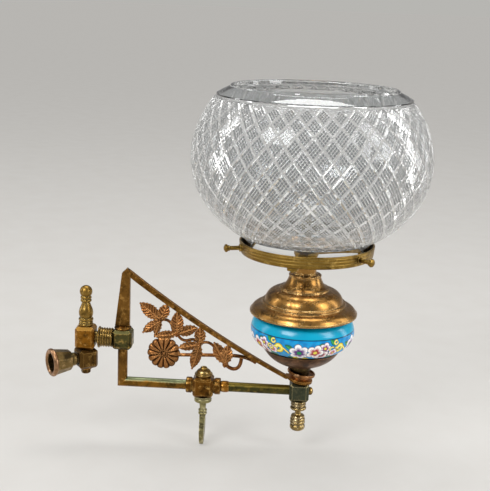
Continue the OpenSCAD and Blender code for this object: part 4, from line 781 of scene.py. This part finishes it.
globe.data.materials.clear()
for made in (glass("fire_polished_lead_glass", "#F8FAFB", 0.0),
             glass("hatched_glass_painted_shade", "#A4A8AC", 0.04, foot="#484C50"),
             glass("wheel_cut_glass_painted_highlight", "#FEFEFC", 0.05, 0.74)):
    globe.data.materials.append(made)
# The wheel cuts and the ring groove take the glass with opaque white, a painted highlight; the hatched fields
# take the grey glass, painted shade.
for face, kind in zip(globe.data.polygons, globe.data.attributes["cut"].data):
    ring_groove = 217.7 * MM < face.center.z < 219.2 * MM and kind.value == 0
    face.material_index = 2 if ring_groove else kind.value
print("glass finishes:", [made.name for made in globe.data.materials])

# %% [markdown]
# ### Painted glaze
#
# The paint lies under a clear glaze that was fired to a mirror. A coat gives that second, sharper
# reflection, and a faint unevenness of about three millimetres keeps it from looking like plastic.

# %% The bowl's glaze
glaze, tree, shader = new_material("painted_glazed_ceramic")
spots_of = put(tree, "TexCoord").outputs["Object"]
painted = put(tree, "Attribute", {"attribute_name": "painting"}).outputs["Color"]
uneven = put(tree, "TexNoise", sockets={"Vector": spots_of, "Scale": 1 / (3 * MM), "Detail": 2})
swell = put(tree, "Bump", sockets={"Height": uneven.outputs["Fac"], "Distance": 0.05 * MM,
                                   "Strength": 0.5})
tree.links.new(painted, shader.inputs["Base Color"])
tree.links.new(swell.outputs["Normal"], shader.inputs["Normal"])
shader.inputs["Roughness"].default_value = 0.22
shader.inputs["IOR"].default_value = 1.4
shader.inputs["Coat Weight"].default_value = 0.12
shader.inputs["Coat Roughness"].default_value = 0.04
wear(bowl, glaze)
print(glaze.name, "on", bowl.name)

# %% [markdown]
# ### Old brass
#
# Every metal part is brass or copper that was lacquered once, handled for a century and never
# polished again. Four things tell that story. Broad clouds of brown and gold, some 12 mm across,
# come from tarnish. Small dark flecks are pits and old lacquer. Hollows are darker: partly dirty
# deposits and verdigris, partly painted shade. Edges are brighter: partly rubbed by hands, partly
# a painted highlight. Clouds and flecks are noise on Object coordinates. Ambient Occlusion finds
# the hollows, and the Bevel node finds the edges: where its rounded normal leaves the true one,
# there is an edge. Two more marks can be added: faces that look up get another tone, partly
# tarnish and partly a painted highlight, and a carved relief gets a painted highlight on its
# crests and painted shade in its valleys.
#
# The parts differ only in their colours and how far the story went, so one function makes the
# finish and each part calls it with its own shades.

# %% The recipe for old brass
SMOOTH = {"interpolation_type": "SMOOTHSTEP"}
MIX = {"data_type": "RGBA"}


def old_brass(name, bright, body, dark, fleck_and_shade, shine=0.3, clouds=0.5, flecks=0.35, edge_wear_and_light=0.9,
              lathe_mm=0.0, rough_mm=0.06, top=None, smears=0.75, dirt_and_shade_mm=3.0, grime_and_shade=None,
              edge_mm=0.8, carved_light_shade=None):
    made, tree, shader = new_material(name)
    place = put(tree, "TexCoord").outputs["Object"]
    cloud = put(tree, "TexNoise", sockets={"Vector": place, "Scale": 1 / (12 * MM), "Detail": 4,
                                           "Roughness": 0.6, "Distortion": 0.6})
    grain = put(tree, "TexNoise", sockets={"Vector": place, "Scale": 1 / (1.3 * MM), "Detail": 3})
    smear = put(tree, "TexNoise", sockets={"Vector": place, "Scale": 1 / (4.5 * MM), "Detail": 5,
                                           "Roughness": 0.7})
    brown = put(tree, "MapRange", SMOOTH, {"Value": cloud.outputs["Fac"], "From Min": 0.60 - 0.3 * clouds,
                                           "From Max": 0.78 - 0.2 * clouds})
    gold = put(tree, "MapRange", SMOOTH, {"Value": smear.outputs["Fac"], "From Min": 0.50,
                                          "From Max": 0.68, "To Max": smears})
    spot = put(tree, "MapRange", SMOOTH, {"Value": grain.outputs["Fac"], "From Min": 0.56,
                                          "From Max": 0.70, "To Max": flecks})
    tone = put(tree, "Mix", MIX, {0: brown.outputs[0], 6: colour(body), 7: colour(dark)})
    tone = put(tree, "Mix", MIX, {0: gold.outputs[0], 6: tone.outputs[2], 7: colour(bright)})
    tone = put(tree, "Mix", MIX, {0: spot.outputs[0], 6: tone.outputs[2], 7: colour(fleck_and_shade)})
    # Ambient Occlusion darkens the hollows towards the hollow colour: partly dirty deposits and verdigris,
    # partly painted shade.
    hollow = put(tree, "AmbientOcclusion", {"samples": 6}, {"Distance": dirt_and_shade_mm * MM})
    dirt_and_shade = put(tree, "MapRange", SMOOTH, {"Value": hollow.outputs["AO"], "From Min": 0.35,
                                          "From Max": 0.85, "To Min": 0.85, "To Max": 0.0})
    tone = put(tree, "Mix", MIX, {0: dirt_and_shade.outputs[0], 6: tone.outputs[2], 7: colour(grime_and_shade or fleck_and_shade)})
    rounded = put(tree, "Bevel", {"samples": 4}, {"Radius": edge_mm * MM})
    flat = put(tree, "NewGeometry")
    # Faces that look up are mixed towards the top colour: partly tarnish, partly a painted highlight from the
    # light above.
    if top:
        upward = put(tree, "SeparateXYZ", sockets={"Vector": flat.outputs["Normal"]})
        patchy = put(tree, "Math", {"operation": "MULTIPLY_ADD"},
                     {0: smear.outputs["Fac"], 1: 0.9, 2: upward.outputs["Z"]})
        top_tarnish_and_light = put(tree, "MapRange", SMOOTH, {"Value": patchy.outputs[0], "From Min": 0.75,
                                                 "From Max": 1.25})
        tone = put(tree, "Mix", MIX, {0: top_tarnish_and_light.outputs[0], 6: tone.outputs[2], 7: colour(top)})
    # Edges are mixed towards the bright colour: partly rubbed wear, partly a painted highlight.
    same = put(tree, "VectorMath", {"operation": "DOT_PRODUCT"},
               {0: rounded.outputs["Normal"], 1: flat.outputs["Normal"]})
    rubbed_and_lit_edge = put(tree, "MapRange", SMOOTH, {"Value": same.outputs["Value"], "From Min": 0.80,
                                            "From Max": 0.985, "To Min": edge_wear_and_light, "To Max": 0.0})
    tone = put(tree, "Mix", MIX, {0: rubbed_and_lit_edge.outputs[0], 6: tone.outputs[2], 7: colour(bright)})
    # On a carved relief, crests get a painted highlight in the bright colour and valleys get painted shade in
    # the darkest colour.
    if carved_light_shade:
        crest_light_shade = put(tree, "Attribute", {"attribute_name": carved_light_shade}).outputs["Fac"]
        for gain, shade in ((0.5, bright), (-1.0, fleck_and_shade)):
            there = put(tree, "Math", {"operation": "MULTIPLY", "use_clamp": True}, {0: crest_light_shade, 1: gain})
            tone = put(tree, "Mix", MIX, {0: there.outputs[0], 6: tone.outputs[2], 7: colour(shade)})
    dull = put(tree, "MapRange", sockets={"Value": smear.outputs["Fac"], "From Min": 0.3,
                                          "From Max": 0.7, "To Min": shine + 0.16, "To Max": shine})
    height = put(tree, "Math", {"operation": "MULTIPLY_ADD"},
                 {0: grain.outputs["Fac"], 1: 0.6, 2: smear.outputs["Fac"]})
    if lathe_mm:
        lines = put(tree, "TexWave", {"bands_direction": "Z"},
                    {"Vector": place, "Scale": 0.3 / (lathe_mm * MM), "Distortion": 0.4})
        height = put(tree, "Math", {"operation": "MULTIPLY_ADD"},
                     {0: lines.outputs["Fac"], 1: 0.5, 2: height.outputs[0]})
    relief = put(tree, "Bump", sockets={"Height": height.outputs[0], "Distance": rough_mm * MM,
                                        "Strength": 0.7, "Normal": rounded.outputs["Normal"]})
    tree.links.new(tone.outputs[2], shader.inputs["Base Color"])
    tree.links.new(dull.outputs[0], shader.inputs["Roughness"])
    tree.links.new(relief.outputs["Normal"], shader.inputs["Normal"])
    shader.inputs["Metallic"].default_value = 1.0
    return made


# %% [markdown]
# The shades below are listed part by part. Castings near the wall went brown and olive, the
# foliage is reddish, the key and the drop under the arm are pale and greenish from handling, and
# the gallery ring is a yellower sheet brass with lathe lines.

# %% Finish every metal part
finishes = [
    (old_brass("greenish_bronze_coupling", "#CBAA78", "#80693F", "#483E28", "#2E2A1E", 0.30,
               grime_and_shade="#3C4430"), "wall_coupling"),
    (old_brass("dark_brown_cast_brass", "#B08A4E", "#5E4420", "#2E2110", "#1F170C", 0.32),
     "swivel_base swivel_nut"),
    (old_brass("orange_brown_cast_brass", "#DCA85C", "#94621F", "#4C3210", "#2C2212", 0.32,
               top="#B98A40", grime_and_shade="#3C4428"), "swivel_block swivel_plug swivel_washer"),
    (old_brass("brown_turned_brass", "#E2C47A", "#8E6E32", "#4E3C1A", "#2E2414", 0.30, lathe_mm=0.8,
               rough_mm=0.02, smears=0.4, flecks=0.15, grime_and_shade="#46502E"), "swivel_finial"),
    (old_brass("brown_ribbed_brass", "#E0BE78", "#8A6A32", "#463312", "#241C0E", 0.28,
               smears=0.5, flecks=0.2, grime_and_shade="#343A22"), "ribbed_ferrule"),
    (old_brass("olive_green_cast_brass", "#C6A258", "#55502E", "#302E1C", "#1F2016", 0.34,
               top="#7A7448"), "corner_block"),
    (old_brass("olive_drawn_pipe", "#B8963E", "#4E4A28", "#2E2C1A", "#20200F", 0.32, top="#8C7A38",
               smears=0.35, flecks=0.15), "front_pipe"),
    (old_brass("brown_bronze_bar", "#C0924E", "#7C5726", "#442E12", "#2A1D0E", 0.33),
     "upright_foot upright_bar drop_pipe"),
    (old_brass("golden_brown_brace", "#C8924C", "#76501F", "#432C10", "#291C0C", 0.32, top="#B07C3A"),
     "brace_bar"),
    (old_brass("green_tarnished_pipe", "#C0893C", "#8A6022", "#4C3A18", "#2E2814", 0.33, clouds=0.6,
               top="#7E8462", smears=0.45, flecks=0.2), "rear_pipe"),
    (old_brass("brown_cock_brass", "#DCAE60", "#744C1C", "#3A260E", "#231809", 0.28),
     "cock_body cock_stop_pin cock_washer"),
    (old_brass("orange_turned_collar", "#E8B468", "#9C6A28", "#553711", "#2E200E", 0.27),
     "pipe_ferrule"),
    (old_brass("gold_rubbed_brass", "#EFD596", "#9E7C3C", "#54401C", "#2E2412", 0.25),
     "cock_tail_cap cock_tail_screw end_screw"),
    (old_brass("pale_greenish_brass", "#DDD2A6", "#978E60", "#5C573A", "#3C3A28", 0.28),
     "cock_key cock_plug"),
    (old_brass("green_black_cast_brass", "#CDBB88", "#464A3A", "#2A2D24", "#1C1E19", 0.32, clouds=0.3,
               flecks=0.1, edge_wear_and_light=1.0, smears=0.12, edge_mm=1.3), "end_block"),
    (old_brass("pale_gold_turned_brass", "#F2DCB0", "#98804E", "#54442A", "#2A2216", 0.24,
               rough_mm=0.02, dirt_and_shade_mm=4.0), "tail_finial"),
    (old_brass("orange_copper_brass", "#ECC090", "#A87446", "#5E3E22", "#332214", 0.27),
     "brace_seat brace_spacer cup_washer"),
    # The stem under the bowl and the gas column are given a dark brass.
    (old_brass("dark_brass_stem_and_column", "#8A7048", "#463922", "#261E12", "#1A150E", 0.36),
     "bowl_stem gas_column"),
    (old_brass("polished_spun_copper", "#EAC88A", "#9E743C", "#644624", "#382616", 0.21, clouds=0.3,
               flecks=0.08, rough_mm=0.006, smears=0.2, dirt_and_shade_mm=1.8, edge_mm=1.4),
     "bowl_cap neck_tube"),
    (old_brass("satin_gallery_brass", "#C6A45A", "#86692E", "#4C3A1A", "#2C2312", 0.28, clouds=0.3,
               flecks=0.15, lathe_mm=1.0, rough_mm=0.04),
     "holder_ring holder_spider thumbscrew_1 thumbscrew_2 thumbscrew_3"),
    (old_brass("burner_brass", "#C8B070", "#8E7840", "#55482A", "#3A3220", 0.32), "burner_pillar"),
]
for made, names in finishes:
    for name in names.split():
        wear(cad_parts[name], made)
wear(dish, old_brass("brown_spun_copper", "#A87E5A", "#6E4E36", "#402C1E", "#281C14", 0.30, clouds=0.5,
                     rough_mm=0.02, smears=0.4, lathe_mm=1.2))
wear(casting, old_brass("reddish_sand_cast_brass", "#DEA062", "#80502A", "#3E2613", "#1A1008", 0.32,
                        dirt_and_shade_mm=1.8, carved_light_shade="crest_light_shade"))
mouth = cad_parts["wall_coupling"]
mouth.data.materials.append(old_brass("rubbed_rosy_mouth_ring", "#E2B48E", "#A07A58", "#5E4630",
                                      "#35291C", 0.27))
for face in mouth.data.polygons:
    face.material_index = int(face.center.y < 2.6 * MM)
print(len(finishes), "metal finishes on", sum(len(names.split()) for made, names in finishes), "parts")

# %% [markdown]
# ### Steatite
#
# The burner's tip is steatite, a soapstone fired hard: chalky, cream and a little sooty at the
# slit. It is rough, so only its colour varies.

# %% The burner tip's stone
stone, tree, shader = new_material("fired_steatite")
place = put(tree, "TexCoord").outputs["Object"]
soot = put(tree, "TexNoise", sockets={"Vector": place, "Scale": 1 / (4 * MM), "Detail": 4})
smoky = put(tree, "MapRange", SMOOTH, {"Value": soot.outputs["Fac"], "From Min": 0.5, "From Max": 0.75})
cream = put(tree, "Mix", MIX, {0: smoky.outputs[0], 6: colour("#DDD3BE"), 7: colour("#8C8272")})
tree.links.new(cream.outputs[2], shader.inputs["Base Color"])
shader.inputs["Roughness"].default_value = 0.75
wear(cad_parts["burner_tip"], stone)
bare = [name for name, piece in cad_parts.items()
        if not piece.hide_render and not any(m.name in {f.name for f, names in finishes} | {stone.name}
                                             for m in piece.data.materials if m)]
print("parts without a finish:", bare)

# %% [markdown]
# ## Floor and light
#
# A studio would stand the lamp on pale paper under large soft boxes. The floor is a wide disc at
# the height of the lamp's lowest point. Metal needs something dark and something bright to
# reflect, so the world is a middling grey and three soft boxes give the bright shapes. Their
# light adds up to about the level at which a colour renders as it is written.

# %% Lay the floor
floor_z = cad_low.z
clear_selection()
bpy.ops.mesh.primitive_circle_add(vertices=96, radius=80, fill_type="NGON",
                                  location=(column.x, column.y, floor_z - 0.0005))
floor = bpy.context.object
floor.name = "floor"
paper, tree, shader = new_material("pale_paper_floor")
place = put(tree, "TexCoord").outputs["Object"]
fibre = put(tree, "TexNoise", sockets={"Vector": place, "Scale": 1 / (40 * MM), "Detail": 5})
pale = put(tree, "Mix", MIX, {0: fibre.outputs["Fac"], 6: colour("#D2CFCA"), 7: colour("#D9D7D3")})
tree.links.new(pale.outputs[2], shader.inputs["Base Color"])
shader.inputs["Roughness"].default_value = 0.9
path = put(tree, "LightPath")
seen = put(tree, "Math", {"operation": "MAXIMUM"},
           {0: path.outputs["Is Camera Ray"], 1: path.outputs["Is Transmission Ray"]})
seen = put(tree, "Math", {"operation": "MAXIMUM"}, {0: seen.outputs[0], 1: path.outputs["Is Glossy Ray"]})
lift = put(tree, "Math", {"operation": "MULTIPLY"}, {0: seen.outputs[0], 1: 0.6})
tree.links.new(pale.outputs[2], shader.inputs["Emission Color"])
glow = put(tree, "Emission", sockets={"Color": pale.outputs[2], "Strength": 1.0})
lifted = put(tree, "MixShader", sockets={0: lift.outputs[0], 1: shader.outputs[0], 2: glow.outputs[0]})
tree.links.new(lifted.outputs[0], tree.nodes["Material Output"].inputs["Surface"])
wear(floor, paper)

# %% Hang the soft boxes and set the world
def soft_box(name, place, size, watts):
    light = bpy.data.lights.new(name, "AREA")
    light.shape = "RECTANGLE"
    light.size, light.size_y = size
    light.energy = watts
    box = bpy.data.objects.new(name, light)
    bpy.context.scene.collection.objects.link(box)
    box.location = place
    box.rotation_euler = (Vector((0.06, 0.1, 0.08)) - Vector(place)).to_track_quat("-Z", "Y").to_euler()
    return box


soft_box("key_box", (0.55, -1.15, 1.15), (0.8, 0.6), 18)
soft_box("side_box", (1.2, 0.75, 0.8), (0.5, 0.9), 10)
soft_box("top_box", (-0.25, 0.35, 1.5), (1.0, 0.5), 12)
soft_box("right_strip", (0.32, 0.72, 0.32), (0.12, 0.7), 1.2).visible_camera = False
soft_box("left_strip", (-0.42, -0.42, 0.32), (0.12, 0.7), 1.2).visible_camera = False
world = bpy.data.worlds.new("studio")
bpy.context.scene.world = world
world.use_nodes = True
tree = world.node_tree
tree.nodes.clear()
path = put(tree, "LightPath")
through = put(tree, "Math", {"operation": "MULTIPLY"}, {0: path.outputs["Is Transmission Ray"], 1: 0.4})
seen = put(tree, "Math", {"operation": "MAXIMUM"}, {0: path.outputs["Is Camera Ray"], 1: through.outputs[0]})
room = put(tree, "Background", sockets={"Color": colour("#FFFFFF"), "Strength": 0.27})
beyond = put(tree, "Background", sockets={"Color": colour("#B7B6B2"), "Strength": 1.0})
either = put(tree, "MixShader", sockets={0: seen.outputs[0], 1: room.outputs[0], 2: beyond.outputs[0]})
put(tree, "OutputWorld", sockets={"Surface": either.outputs[0]})
print("three soft boxes and a grey world")
